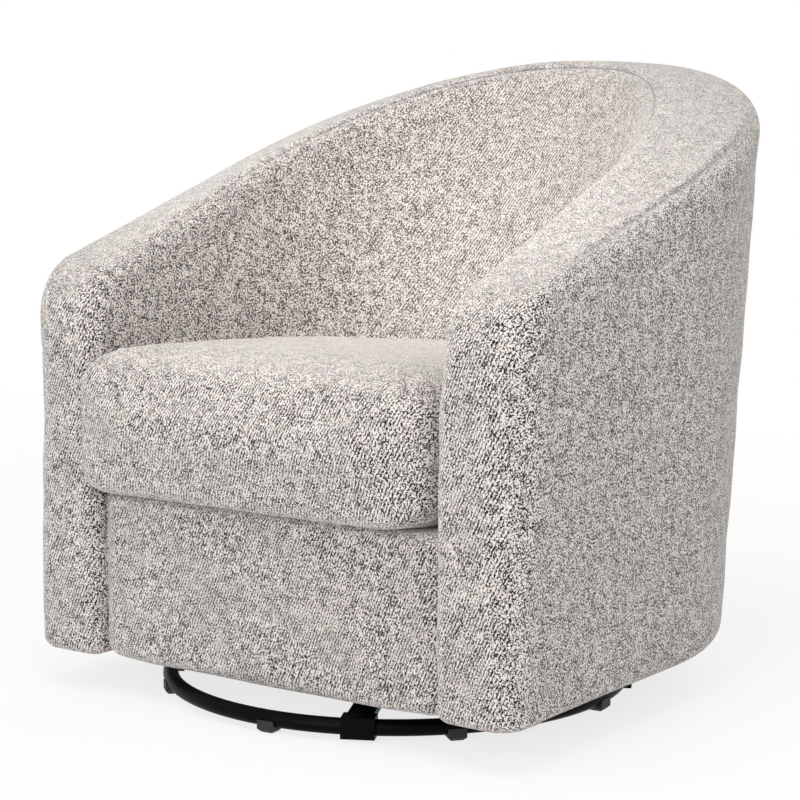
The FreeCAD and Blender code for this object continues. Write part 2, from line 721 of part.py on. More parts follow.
def swivel_nut():
    """The lock nut that keeps the carriage down on its bearing."""
    z = WASHER_Z + WASHER_THICK
    nut = hexagon(1.8 * SWIVEL_BOLT, NUT_HEIGHT, V(0, 0, z))
    bore = Part.makeCylinder(SWIVEL_BOLT + 0.02, 3 * NUT_HEIGHT, V(0, 0, z - NUT_HEIGHT))
    return about_swivel(nut.cut(bore), 0)


# Carriage

def swivel_plate():
    """The plate on the upper race, which carries the carriage rails."""
    plate = box(-SWIVEL_PLATE_HALF_X, SWIVEL_PLATE_HALF_X, -SWIVEL_PLATE_HALF_Y, SWIVEL_PLATE_HALF_Y,
                SWIVEL_PLATE_Z, CARRIAGE_Z)
    upright = [e for e in plate.Edges if abs(e.Vertexes[0].Z - e.Vertexes[1].Z) > 1]
    plate = plate.makeFillet(12.0, upright)
    bore = Part.makeCylinder(SWIVEL_BOLT + RUNNING_CLEARANCE, 4 * PLATE_THICK, V(0, 0, SWIVEL_PLATE_Z - PLATE_THICK))
    return about_swivel(plate.cut(bore), 0)


def carriage_rail():
    """The right side rail, a square tube along Y."""
    x0, x1 = CARRIAGE_RAIL_X
    y0, y1 = SWIVEL_Y - CARRIAGE_RAIL_HALF_LENGTH, SWIVEL_Y + CARRIAGE_RAIL_HALF_LENGTH
    z0, z1 = CARRIAGE_Z, CARRIAGE_Z + CARRIAGE_RAIL_HEIGHT
    w = CARRIAGE_RAIL_WALL
    return box(x0, x1, y0, y1, z0, z1).cut(box(x0 + w, x1 - w, y0 - 1, y1 + 1, z0 + w, z1 - w))


def pivot_post(y):
    """A right-hand upright plate, welded to the side rail, with the hole for an upper pivot pin."""
    x0, x1 = POST_X
    low, high = CARRIAGE_Z, POST_TOP
    plate = box(x0, x1, y - POST_HALF_WIDTH, y + POST_HALF_WIDTH, low, high)
    top = [e for e in plate.Edges if all(abs(v.Z - high) < 0.1 for v in e.Vertexes)
           and abs(e.Vertexes[0].X - e.Vertexes[1].X) > 1]
    plate = plate.makeFillet(POST_HALF_WIDTH - 4, top)
    return plate.cut(cylinder_across(PIN + 0.02, x0 - 5, x1 + 5, y, UPPER_PIVOT_Z))


def pivot_pin(y, z, inner_x, outer_x, head_inside):
    """A right-hand headed pin along X."""
    head = 4.0
    shank = cylinder_across(PIN, inner_x, outer_x, y, z)
    head_x = (inner_x - head, inner_x) if head_inside else (outer_x, outer_x + head)
    return shank.fuse(cylinder_across(PIN_HEAD, head_x[0], head_x[1], y, z)).removeSplitter()


PIVOT_YS = {"front": SWIVEL_Y - PIVOT_Y, "rear": SWIVEL_Y + PIVOT_Y}


def upper_pivot_pins():
    """Pins through the four posts, which the links hang from."""
    pins = [pivot_pin(y, UPPER_PIVOT_Z, POST_X[0], LINK_X[1] + 3, True) for y in PIVOT_YS.values()]
    return Part.makeCompound(pins + [mirrored(pin) for pin in pins])


def glide_bumpers():
    """Rubber stops on the side rails: one behind each front link and one ahead of each rear link."""
    x0, x1 = CARRIAGE_RAIL_X[1], LINK_X[1]
    places = [PIVOT_YS["front"] + BUMPER_OFFSET, PIVOT_YS["rear"] - BUMPER_OFFSET]
    stops = [cylinder_across(BUMPER_RADIUS, x0, x1, y, BUMPER_Z) for y in places]
    return Part.makeCompound(stops + [mirrored(stop) for stop in stops])


# Swing links

def swing_link(y):
    """A right-hand link: a flat bar with an eye at each end."""
    x0, x1 = LINK_X
    bar = box(x0, x1, y - LINK_HALF_WIDTH, y + LINK_HALF_WIDTH, LOWER_PIVOT_Z, UPPER_PIVOT_Z)
    for z in (LOWER_PIVOT_Z, UPPER_PIVOT_Z):
        bar = bar.fuse(cylinder_across(LINK_END_RADIUS, x0, x1, y, z))
    bar = bar.removeSplitter()
    for z in (LOWER_PIVOT_Z, UPPER_PIVOT_Z):
        bar = bar.cut(cylinder_across(BUSH + 0.02, x0 - 2, x1 + 2, y, z))
    return bar


def link_bushes(y):
    """Plain bushes in the eyes of one pair of links."""
    x0, x1 = LINK_X[0] - 1, LINK_X[1] + 1
    bushes = []
    for z in (LOWER_PIVOT_Z, UPPER_PIVOT_Z):
        bush = cylinder_across(BUSH, x0, x1, y, z)
        bushes.append(bush.cut(cylinder_across(PIN + RUNNING_CLEARANCE, x0 - 2, x1 + 2, y, z)))
    return Part.makeCompound(bushes + [mirrored(bush) for bush in bushes])


# Chair side of the glider

def hanger_plate(y):
    """A right-hand plate that reaches down from the glide rail to a lower pivot pin."""
    x0, x1 = HANGER_X
    low = LOWER_PIVOT_Z - HANGER_BELOW_PIVOT
    plate = box(x0, x1, y - POST_HALF_WIDTH, y + POST_HALF_WIDTH, low, SLAT_Z)
    foot = [e for e in plate.Edges if all(abs(v.Z - low) < 0.1 for v in e.Vertexes)
            and abs(e.Vertexes[0].X - e.Vertexes[1].X) > 1]
    plate = plate.makeFillet(POST_HALF_WIDTH - 4, foot)
    return plate.cut(cylinder_across(PIN + 0.02, x0 - 5, x1 + 5, y, LOWER_PIVOT_Z))


def lower_pivot_pins():
    """Pins through the four hanger plates, which carry the chair on the links."""
    pins = [pivot_pin(y, LOWER_PIVOT_Z, LINK_X[0] - 2.5, HANGER_X[1], False) for y in PIVOT_YS.values()]
    return Part.makeCompound(pins + [mirrored(pin) for pin in pins])


def screw_places():
    """Where the glide rails are screwed to the mounting slats."""
    x = HANGER_X[1] + GLIDE_RAIL_LEG / 2 + GLIDE_RAIL_WALL
    ys = [y + side * SLAT_WIDTH / 4 for y in PIVOT_YS.values() for side in (-1, 1)]
    return [(side * x, y) for side in (-1, 1) for y in ys]


def glide_rail():
    """The right-hand steel angle along Y: one leg flat under the slats, one leg down beside the hangers."""
    x0 = HANGER_X[1]
    y0, y1 = SWIVEL_Y - GLIDE_RAIL_HALF_LENGTH, SWIVEL_Y + GLIDE_RAIL_HALF_LENGTH
    flat = box(x0, x0 + GLIDE_RAIL_LEG, y0, y1, SLAT_Z - GLIDE_RAIL_WALL, SLAT_Z)
    upright = box(x0, x0 + GLIDE_RAIL_WALL, y0, y1, SLAT_Z - GLIDE_RAIL_LEG, SLAT_Z)
    rail = flat.fuse(upright).removeSplitter()
    for x, y in screw_places():
        if x > 0:
            at = V(x, y, SLAT_Z - 2 * GLIDE_RAIL_WALL)
            rail = rail.cut(Part.makeCylinder(SCREW + 0.2, 4 * GLIDE_RAIL_WALL, at))
    return rail


def rail_screws():
    """Hex-headed wood screws up through the glide rails into the slats."""
    low = SLAT_Z - GLIDE_RAIL_WALL
    screws = []
    for x, y in screw_places():
        shank = Part.makeCylinder(SCREW - 0.05, SCREW_LENGTH, V(x, y, low))
        head = hexagon(SCREW_HEAD, SCREW_HEAD_HEIGHT, V(x, y, low - SCREW_HEAD_HEIGHT))
        screws.append(shank.fuse(head).removeSplitter())
    return Part.makeCompound(screws)


def pieces():
    """Every node's name and shape."""
    made = {
        "base_ring": base_ring(),
        "floor_feet": floor_feet(),
        "hub_plate": hub_plate(),
        "hub_bolts": hub_bolts(),
        "hub_nuts": hub_nuts(),
        "lower_race": bearing_race(LOWER_RACE_Z),
        "bearing_balls": bearing_balls(),
        "ball_cage": ball_cage(),
        "swivel_bolt": swivel_bolt(),
        "swivel_washer": swivel_washer(),
        "swivel_nut": swivel_nut(),
        "upper_race": bearing_race(UPPER_RACE_Z),
        "swivel_plate": swivel_plate(),
        "upper_pivot_pins": upper_pivot_pins(),
        "glide_bumpers": glide_bumpers(),
        "lower_pivot_pins": lower_pivot_pins(),
        "rail_screws": rail_screws(),
        "mounting_slat_front": mounting_slat(PIVOT_YS["front"]),
        "mounting_slat_rear": mounting_slat(PIVOT_YS["rear"]),
        "bottom_hoop": bottom_hoop(),
        "seat_hoop": seat_hoop(),
        "top_hoop": top_hoop(),
        "lower_ribs": lower_ribs(),
        "upper_ribs": upper_ribs(),
        "front_rail_board": front_rail_board(),
        "corner_blocks": corner_blocks(),
        "seat_springs": seat_springs(),
        "spring_clips": spring_clips(),
        "seat_deck": seat_deck(),
        "outside_cover": outside_cover(),
        "inside_back_pad": inside_back_pad(),
        "rim_band": rim_band(),
        "front_rail_pad": front_rail_pad(),
        "dust_cover": dust_cover(),
        "seat_cushion_cover": cushion(0.0).cut(cushion(CUSHION_COVER_THICK)),
        "seat_cushion_foam": cushion(CUSHION_COVER_THICK + 0.5),
    }
    for k, angle in enumerate(spoke_angles()):
        made[f"spoke_{k + 1}"] = about_swivel(spoke(), angle)
    paired = {"arm_front": arm_front(), "carriage_rail": carriage_rail(), "glide_rail": glide_rail()}
    for end, y in PIVOT_YS.items():
        made[f"{end}_link_bushes"] = link_bushes(y)
        paired[f"pivot_post_{end}"] = pivot_post(y)
        paired[f"swing_link_{end}"] = swing_link(y)
        paired[f"hanger_plate_{end}"] = hanger_plate(y)
    for name, shape in paired.items():
        made[f"{name}_right"] = shape
        made[f"{name}_left"] = mirrored(shape)
    return made


os.makedirs("parts", exist_ok=True)
for name, shape in pieces().items():
    if not shape.isValid():
        print("not valid:", name)
    shape.exportStep(f"parts/{name}.step")
    print(f"{name}: {len(shape.Solids)} solids, {shape.Volume / 1000:.1f} cm3")
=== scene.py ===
import bpy
import numpy as np
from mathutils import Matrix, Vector


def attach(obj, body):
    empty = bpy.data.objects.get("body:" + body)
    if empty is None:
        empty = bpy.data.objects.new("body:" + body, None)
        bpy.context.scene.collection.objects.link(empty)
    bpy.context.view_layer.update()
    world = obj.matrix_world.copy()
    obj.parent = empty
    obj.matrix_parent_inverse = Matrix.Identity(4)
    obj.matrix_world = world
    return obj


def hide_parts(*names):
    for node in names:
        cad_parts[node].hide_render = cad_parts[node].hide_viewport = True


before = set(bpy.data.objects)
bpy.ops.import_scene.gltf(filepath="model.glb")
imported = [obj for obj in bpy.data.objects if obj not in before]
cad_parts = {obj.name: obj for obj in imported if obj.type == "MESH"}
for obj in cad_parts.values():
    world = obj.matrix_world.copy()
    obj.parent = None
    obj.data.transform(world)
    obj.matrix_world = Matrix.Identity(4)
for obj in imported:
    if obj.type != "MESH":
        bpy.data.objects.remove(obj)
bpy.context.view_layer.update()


# Floor base: a steel tube bent to a ring and welded, four pressed spokes with a saddle over the ring,
# and the plate in the middle that carries the bearing. All of it is powder coated black after welding.

def colour(hex_code):
    """The linear colour of an sRGB hex code."""
    srgb = np.array([int(hex_code[k:k + 2], 16) for k in (0, 2, 4)]) / 255
    linear = np.where(srgb <= 0.04045, srgb / 12.92, ((srgb + 0.055) / 1.055) ** 2.4)
    return (*linear.tolist(), 1.0)


def new_material(name):
    """A material with its node tree and its surface shader."""
    made = bpy.data.materials.new(name)
    made.use_nodes = True
    return made, made.node_tree, made.node_tree.nodes["Principled BSDF"]


def add(tree, kind, inputs=None, **settings):
    """Adds one node. The settings are its own, and inputs gives a socket a value or another node's output."""
    made = tree.nodes.new(kind)
    for name, value in settings.items():
        setattr(made, name, value)
    for socket, value in (inputs or {}).items():
        if isinstance(value, bpy.types.NodeSocket):
            tree.links.new(value, made.inputs[socket])
        else:
            made.inputs[socket].default_value = value
    return made


def blend(tree, share, first, second):
    """Adds a mix of two colours, and gives its colour: the first at a share of 0 and the second at 1."""
    return add(tree, "ShaderNodeMix", {0: share, 6: first, 7: second}, data_type="RGBA").outputs[2]


def dress(material, names):
    """Gives CAD nodes a material."""
    for name in names:
        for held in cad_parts[name].material_slots:
            held.material = material


# Powder coating melts to a satin black skin with a fine orange peel, drawn here at 1.5 mm so that it shows.
powder_coat, tree, shader = new_material("powder_coated_steel")
place = add(tree, "ShaderNodeTexCoord").outputs["Object"]
peel = add(tree, "ShaderNodeTexNoise", {"Vector": place, "Scale": 1 / 0.0015, "Detail": 1.0})
wear = add(tree, "ShaderNodeTexNoise", {"Vector": place, "Scale": 1 / 0.030, "Detail": 4.0})
tone = blend(tree, wear.outputs["Fac"], colour("030303"), colour("0a0a0a"))
gloss = add(tree, "ShaderNodeMapRange", {"Value": wear.outputs["Fac"], "To Min": 0.30, "To Max": 0.46})
bump = add(tree, "ShaderNodeBump", {"Height": peel.outputs["Fac"], "Strength": 0.25, "Distance": 0.0004})
tree.links.new(tone, shader.inputs["Base Color"])
tree.links.new(gloss.outputs["Result"], shader.inputs["Roughness"])
tree.links.new(bump.outputs["Normal"], shader.inputs["Normal"])
shader.inputs["Specular IOR Level"].default_value = 0.05
dress(powder_coat, ["base_ring", "hub_plate"] + [f"spoke_{k}" for k in (1, 2, 3, 4)])

# Moulded polypropylene feet: a matt black with the fine spark texture of the mould, drawn at 1 mm.
foot_plastic, tree, shader = new_material("moulded_polypropylene")
place = add(tree, "ShaderNodeTexCoord").outputs["Object"]
spark = add(tree, "ShaderNodeTexNoise", {"Vector": place, "Scale": 1 / 0.001, "Detail": 2.0})
tone = blend(tree, spark.outputs["Fac"], colour("0a0a0a"), colour("181818"))
bump = add(tree, "ShaderNodeBump", {"Height": spark.outputs["Fac"], "Strength": 0.3, "Distance": 0.0003})
shader.inputs["Roughness"].default_value = 0.62
tree.links.new(tone, shader.inputs["Base Color"])
tree.links.new(bump.outputs["Normal"], shader.inputs["Normal"])
dress(foot_plastic, ["floor_feet", "ball_cage"])


# Swivel: two pressed races, a ring of balls in a cage, and one bolt that holds the carriage down.
# The fasteners are bright zinc plated, and the races are pressed from oiled black steel strip.

# Zinc plating is a pale bluish metal with a faint crystalline spangle, about 4 mm across.
zinc_plate, tree, shader = new_material("zinc_plated_steel")
place = add(tree, "ShaderNodeTexCoord").outputs["Object"]
spangle = add(tree, "ShaderNodeTexVoronoi", {"Vector": place, "Scale": 1 / 0.004})
tone = blend(tree, spangle.outputs["Color"], colour("a9adb0"), colour("c9cccd"))
gloss = add(tree, "ShaderNodeMapRange",
            {"Value": spangle.outputs["Distance"], "To Min": 0.28, "To Max": 0.42})
shader.inputs["Metallic"].default_value = 1.0
tree.links.new(tone, shader.inputs["Base Color"])
tree.links.new(gloss.outputs["Result"], shader.inputs["Roughness"])
dress(zinc_plate, ["hub_bolts", "hub_nuts", "swivel_bolt", "swivel_washer", "swivel_nut", "upper_pivot_pins",
                   "lower_pivot_pins", "rail_screws", "bearing_balls"])
dress(powder_coat, ["lower_race", "upper_race"])


# Carriage and swing links: a plate and two rails that turn with the seat, four posts, four links that
# swing on pins in nylon bushes, and rubber bumpers that end the glide. The steel is painted black.
dress(powder_coat, ["swivel_plate"])
for hand in ("left", "right"):
    dress(powder_coat, [f"carriage_rail_{hand}", f"glide_rail_{hand}"])
    for row in ("front", "rear"):
        dress(powder_coat, [f"pivot_post_{row}_{hand}", f"swing_link_{row}_{hand}",
                            f"hanger_plate_{row}_{hand}"])

# Natural nylon is a milky off-white with a soft gloss, clouded over a few millimetres.
nylon, tree, shader = new_material("natural_nylon")
place = add(tree, "ShaderNodeTexCoord").outputs["Object"]
cloud = add(tree, "ShaderNodeTexNoise", {"Vector": place, "Scale": 1 / 0.006, "Detail": 2.0})
tone = blend(tree, cloud.outputs["Fac"], colour("d6d1c2"), colour("e8e4d8"))
shader.inputs["Roughness"].default_value = 0.42
tree.links.new(tone, shader.inputs["Base Color"])
dress(nylon, ["front_link_bushes", "rear_link_bushes"])

# Moulded rubber is a dull grey-black with a bloom of paler dust.
rubber, tree, shader = new_material("moulded_rubber")
place = add(tree, "ShaderNodeTexCoord").outputs["Object"]
bloom = add(tree, "ShaderNodeTexNoise", {"Vector": place, "Scale": 1 / 0.005, "Detail": 5.0})
tone = blend(tree, bloom.outputs["Fac"], colour("141414"), colour("2a2928"))
shader.inputs["Roughness"].default_value = 0.85
tree.links.new(tone, shader.inputs["Base Color"])
dress(rubber, ["glide_bumpers"])


# Frame: plywood hoops at the bottom, seat and rim, upright ribs between them, a solid front rail, corner
# blocks and two slats that carry the glide rails. The timber is sawn, glued and left bare.

# Birch plywood and pine are pale yellow, with grain lines about 5 mm apart along the length of the board.
bare_timber, tree, shader = new_material("bare_birch_plywood")
place = add(tree, "ShaderNodeTexCoord").outputs["Object"]
stretch = add(tree, "ShaderNodeMapping", {"Vector": place, "Scale": (0.12, 1.0, 1.0)}).outputs["Vector"]
grain = add(tree, "ShaderNodeTexWave", {"Vector": stretch, "Scale": 1 / 0.030, "Distortion": 5.0,
                                        "Detail": 3.0, "Detail Scale": 2.0}, bands_direction="Z")
fibre = add(tree, "ShaderNodeTexNoise", {"Vector": stretch, "Scale": 1 / 0.003, "Detail": 3.0})
tone = blend(tree, grain.outputs["Fac"], colour("cfae7c"), colour("e0c596"))
fleck = blend(tree, fibre.outputs["Fac"], tone, colour("d8bb8a"))
bump = add(tree, "ShaderNodeBump", {"Height": fibre.outputs["Fac"], "Strength": 0.3, "Distance": 0.0004})
shader.inputs["Roughness"].default_value = 0.72
tree.links.new(fleck, shader.inputs["Base Color"])
tree.links.new(bump.outputs["Normal"], shader.inputs["Normal"])
dress(bare_timber, ["bottom_hoop", "seat_hoop", "top_hoop", "lower_ribs", "upper_ribs", "front_rail_board",
                    "corner_blocks", "mounting_slat_front", "mounting_slat_rear"])


# Seat springs: five runs of zigzag spring wire from front to back, each end held in a folded steel clip.
# The wire is drawn and oil tempered, so it is a smooth blue-grey.
spring_wire, tree, shader = new_material("oil_tempered_spring_wire")
place = add(tree, "ShaderNodeTexCoord").outputs["Object"]
temper = add(tree, "ShaderNodeTexNoise", {"Vector": place, "Scale": 1 / 0.012, "Detail": 2.0})
tone = blend(tree, temper.outputs["Fac"], colour("4a4c50"), colour("73757a"))
shader.inputs["Metallic"].default_value = 1.0
shader.inputs["Roughness"].default_value = 0.36
tree.links.new(tone, shader.inputs["Base Color"])
dress(spring_wire, ["seat_springs", "spring_clips"])


# Seat deck: a sheet of nonwoven cloth stapled over the springs, under the loose cushion.
# It is cut to a rectangle, and sinks a little between the staples.
deck_half, deck_front, deck_back, deck_top = 0.254, -0.335, 0.075, 0.2615
deck_sink = 0.004


def mix(low, high, share):
    """The value at a share of the way from low to high."""
    return low + (high - low) * share


def surface(name, points):
    """A smooth mesh piece from a grid of points, with crisp cut edges. Its faces point along the second
    direction crossed with the first."""
    rows, columns = points.shape[:2]
    index = np.arange(rows * columns).reshape(rows, columns)
    quads = np.stack([index[:-1, :-1], index[:-1, 1:], index[1:, 1:], index[1:, :-1]], axis=-1).reshape(-1, 4)
    mesh = bpy.data.meshes.new(name)
    mesh.from_pydata(points.reshape(-1, 3).tolist(), [], quads.tolist())
    mesh.shade_smooth()
    border = np.ones((rows, columns), dtype=bool)
    border[1:-1, 1:-1] = False
    ends = np.empty(len(mesh.edges) * 2, dtype=np.int32)
    mesh.edges.foreach_get("vertices", ends)
    cut_edge = mesh.attributes.new("sharp_edge", "BOOLEAN", "EDGE")
    cut_edge.data.foreach_set("value", border.ravel()[ends].reshape(-1, 2).all(axis=1))
    piece = bpy.data.objects.new(name, mesh)
    bpy.context.scene.collection.objects.link(piece)
    return piece


def thicken(piece, thickness):
    """Gives a surface a wall behind it."""
    wall = piece.modifiers.new("wall", "SOLIDIFY")
    wall.thickness = thickness
    wall.offset = -1.0
    return piece


# A level sheet over x and y whose middle sinks by the product of two half waves.
share_x, share_y = np.meshgrid(np.linspace(0, 1, 41), np.linspace(0, 1, 33), indexing="ij")
deck_sag = deck_sink * np.sin(np.pi * share_x) * np.sin(np.pi * share_y)
deck_points = np.stack([mix(deck_half, -deck_half, share_x), mix(deck_front, deck_back, share_y),
                        deck_top - deck_sag], axis=-1)
deck_cloth = thicken(surface("deck_cloth", deck_points), 0.001)


def spunbond(name, dark, pale, roughness):
    """Spunbond polypropylene: a felt-like cloth with a grid of bonded dimples, drawn at 3 mm."""
    made, tree, shader = new_material(name)
    place = add(tree, "ShaderNodeTexCoord").outputs["Object"]
    dimples = add(tree, "ShaderNodeTexVoronoi", {"Vector": place, "Scale": 1 / 0.003, "Randomness": 0.2})
    fibres = add(tree, "ShaderNodeTexNoise", {"Vector": place, "Scale": 1 / 0.002, "Detail": 4.0})
    tone = blend(tree, fibres.outputs["Fac"], colour(dark), colour(pale))
    bump = add(tree, "ShaderNodeBump",
               {"Height": dimples.outputs["Distance"], "Strength": 0.5, "Distance": 0.0005})
    shader.inputs["Roughness"].default_value = roughness
    tree.links.new(tone, shader.inputs["Base Color"])
    tree.links.new(bump.outputs["Normal"], shader.inputs["Normal"])
    return made


# The deck's cloth is grey and dull.
deck_cloth.data.materials.append(spunbond("spunbond_polypropylene_grey", "8c8a86", "a6a39e", 0.9))
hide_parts("seat_deck")
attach(deck_cloth, "chair")


# Outside cover: one panel of padded boucle that wraps the arms and the back, from a seam on the rim down
# to the bottom edge, where it is turned under and stapled. It leans out towards the top.
body_bottom, back_top = 0.047, 0.795
arm_front_y, arm_depth = -0.398, 0.063
arm_back_y = arm_front_y + arm_depth
deck_level = 0.262
rim_edge, rim_level, rim_slope = 0.028, 0.666, 0.352
bottom_edge_front, bottom_edge_back = 0.018, 0.038
flange = 0.030
outer_seam_turn = np.radians(68)
seam_depth, seam_width, outer_seam_shade = 0.0017, 0.0040, 0.50
pad_thickness, panel_softness = 0.010, 0.0012


def tub_plan(u, half_width, bend_y, back_y, power):
    """The tub's plan, from the left arm, u = -1, to the right one, u = 1. Each arm runs straight back to the
    bend at u = 0.5, and then round a superellipse, whose x and y to the given power add up to one."""
    reach = np.abs(u)
    angle = np.clip(1 - 2 * reach, 0, 1) * np.pi / 2
    over, back = np.cos(angle), np.sin(angle)
    size = (over ** power + back ** power) ** (1 / power)
    x = np.sign(u) * half_width * over / size
    round_y = bend_y + (back_y - bend_y) * back / size
    y = np.where(reach < 0.5, round_y, mix(bend_y, arm_back_y, 2 * reach - 1))
    return x, y


def outer_wall(u, z):
    """Points of the outer wall, whose width and depth grow evenly with height."""
    u, z = np.broadcast_arrays(u, z)
    share = (z - body_bottom) / (back_top - body_bottom)
    x, y = tub_plan(u, mix(0.369, 0.380, share), -0.021, mix(0.284, 0.422, share), 2.45)
    return np.stack([x, y, z], axis=-1)


def inner_wall(u, z):
    """Points of the inner wall, which reclines more than the outer one."""
    u, z = np.broadcast_arrays(u, z)
    share = (z - deck_level) / (back_top - deck_level)
    x, y = tub_plan(u, mix(0.258, 0.266, share), -0.110, mix(0.105, 0.310, share), 2.2)
    return np.stack([x, y, z], axis=-1)


def rim_height(u):
    """The top of the rim: a level plus a slope times the y of the middle of the wall at that height."""
    z = rim_level + 0 * u
    for _ in range(4):
        middle = (outer_wall(u, z) + inner_wall(u, z)) / 2
        z = rim_level + rim_slope * middle[..., 1]
    return z


def across_wall(u):
    """The unit direction from the outer wall to the inner one, under the rim."""
    z = rim_height(u) - rim_edge
    way = inner_wall(u, z) - outer_wall(u, z)
    return way / np.linalg.norm(way, axis=-1, keepdims=True)


def even_stations(count):
    """Values of u at even steps round the outer wall at half height."""
    u = np.linspace(-1, 1, 4001)
    steps = np.linalg.norm(np.diff(outer_wall(u, 0.4), axis=0), axis=1)
    along = np.concatenate([[0], np.cumsum(steps)])
    return np.interp(np.linspace(0, along[-1], count), along, u)[:, None]


def run_along(points, axis):
    """The distance from the first point, measured along one direction of a grid."""
    steps = np.linalg.norm(np.diff(points, axis=axis), axis=-1)
    first = np.zeros_like(np.take(steps, [0], axis=axis))
    return np.concatenate([first, np.cumsum(steps, axis=axis)], axis=axis)


def facing(points):
    """Unit normals of a grid: the second direction crossed with the first."""
    normal = np.cross(np.gradient(points, axis=1), np.gradient(points, axis=0))
    return normal / np.maximum(np.linalg.norm(normal, axis=-1, keepdims=True), 1e-9)


def softness(points, height):
    """The slow unevenness of hand-stretched padding: three crossing waves 90 to 240 mm long."""
    x, y, z = np.moveaxis(points, -1, 0) * 2 * np.pi
    first = np.sin(x / 0.17 + z / 0.23 + 0.7)
    second = np.sin(y / 0.19 - z / 0.14 + 2.1)
    third = np.sin((x - y) / 0.24 + z / 0.09)
    return height * (first + second + third) / 3


def smooth_step(low, high, value):
    """0 below low, 1 above high, and an S curve between."""
    t = np.clip((value - low) / (high - low), 0, 1)
    return t * t * (3 - 2 * t)


def upholster(name, points, seam, along, nodes):
    """A padded panel from a grid, with how near each point is to a seam, which sets its painted seam shade,
    and how far along it.
    """
    piece = surface(name, points)
    for label, values in (("seam", seam), ("along", along)):
        layer = piece.data.attributes.new(label, "FLOAT", "POINT")
        layer.data.foreach_set("value", np.ascontiguousarray(values, dtype=np.float32).ravel())
    thicken(piece, pad_thickness)
    piece.data.materials.append(boucle)
    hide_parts(*nodes)
    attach(piece, "chair")



def combine(tree, operation, first, second):
    """Adds a sum, product or the like of two values, and gives its result."""
    return add(tree, "ShaderNodeMath", {0: first, 1: second}, operation=operation).outputs["Value"]


# Boucle: cream looped yarn with charcoal flecks, woven as a steep twill. The loops are drawn about 2 mm
# apart, a little coarser than real ones, and their small shadows are painted in: the dark specks are partly
# charcoal yarn and partly painted shade between the loops. The flecks gather in patches, the twill lines show
# on the panels that face front and back, and as painted light the flecks are painted paler on the inner back
# and on the tops, where more light falls and the shade between the loops is hidden.
loop_pitch, twill_pitch, patch_size, stitch_pitch = 0.00155, 0.0040, 0.012, 0.008
boucle, tree, shader = new_material("cream_and_charcoal_boucle")
object_space = add(tree, "ShaderNodeTexCoord")
place = object_space.outputs["Object"]
slant = add(tree, "ShaderNodeMapping", {"Vector": place, "Rotation": (0.0, np.radians(-24), 0.0)})
pull = add(tree, "ShaderNodeMapping", {"Vector": slant.outputs["Vector"], "Scale": (1.25, 0.68, 0.70)})
loops = add(tree, "ShaderNodeTexNoise", {"Vector": pull.outputs["Vector"], "Scale": 1 / loop_pitch,
                                         "Detail": 1.0, "Roughness": 0.6})
wave_scale = 2 * np.pi / 20 / twill_pitch
twill = add(tree, "ShaderNodeTexWave", {"Vector": slant.outputs["Vector"], "Scale": wave_scale,
                                        "Distortion": 1.5, "Detail": 1.0, "Detail Scale": 1.2})
normal = add(tree, "ShaderNodeSeparateXYZ", {"Vector": object_space.outputs["Normal"]})
to_front = add(tree, "ShaderNodeMath", {0: normal.outputs["Y"]}, operation="ABSOLUTE").outputs["Value"]
# Painted light: how much a face points up, used to paint the flecks paler on the tops.
painted_light_top = add(tree, "ShaderNodeMapRange", {"Value": normal.outputs["Z"], "From Min": 0.45, "From Max": 0.9})
twill_share = add(tree, "ShaderNodeMapRange",
                  {"Value": to_front, "From Min": 0.45, "From Max": 0.9, "To Max": 0.13})
twill_lines = combine(tree, "ADD", twill.outputs["Fac"], -0.5)
twill_part = combine(tree, "MULTIPLY", twill_lines, twill_share.outputs["Result"])
patches = add(tree, "ShaderNodeTexNoise", {"Vector": place, "Scale": 1 / patch_size, "Detail": 1.0})
patch_part = add(tree, "ShaderNodeMapRange", {"Value": patches.outputs["Fac"], "From Min": 0.3,
                                              "From Max": 0.7, "To Min": -0.04, "To Max": 0.04})
woven = combine(tree, "ADD", loops.outputs["Fac"], twill_part)
cluster = combine(tree, "ADD", woven, patch_part.outputs["Result"])
speck = add(tree, "ShaderNodeMapRange", {"Value": cluster, "From Min": 0.44, "From Max": 0.55},
            interpolation_type="SMOOTHSTEP")
cloudy = add(tree, "ShaderNodeTexNoise", {"Vector": place, "Scale": 1 / 0.016, "Detail": 2.0})
cream = blend(tree, cloudy.outputs["Fac"], colour("e4dad4"), colour("f2ebe6"))
# Painted light: deep in the tub the faces that point front or back get paler flecks, and so do the tops.
depth_in = add(tree, "ShaderNodeSeparateXYZ", {"Vector": place}).outputs["Y"]
inside = add(tree, "ShaderNodeMapRange", {"Value": depth_in, "From Min": -0.25, "From Max": 0.15})
painted_light_inside = combine(tree, "MULTIPLY", inside.outputs["Result"], to_front)
painted_light_mask = combine(tree, "MAXIMUM", painted_light_inside, painted_light_top.outputs["Result"])
# The fleck colour: charcoal yarn with painted shade, lightened where the painted light mask is high.
fleck = blend(tree, painted_light_mask, colour("191615"), colour("6b645f"))
yarn = blend(tree, speck.outputs["Result"], fleck, cream)
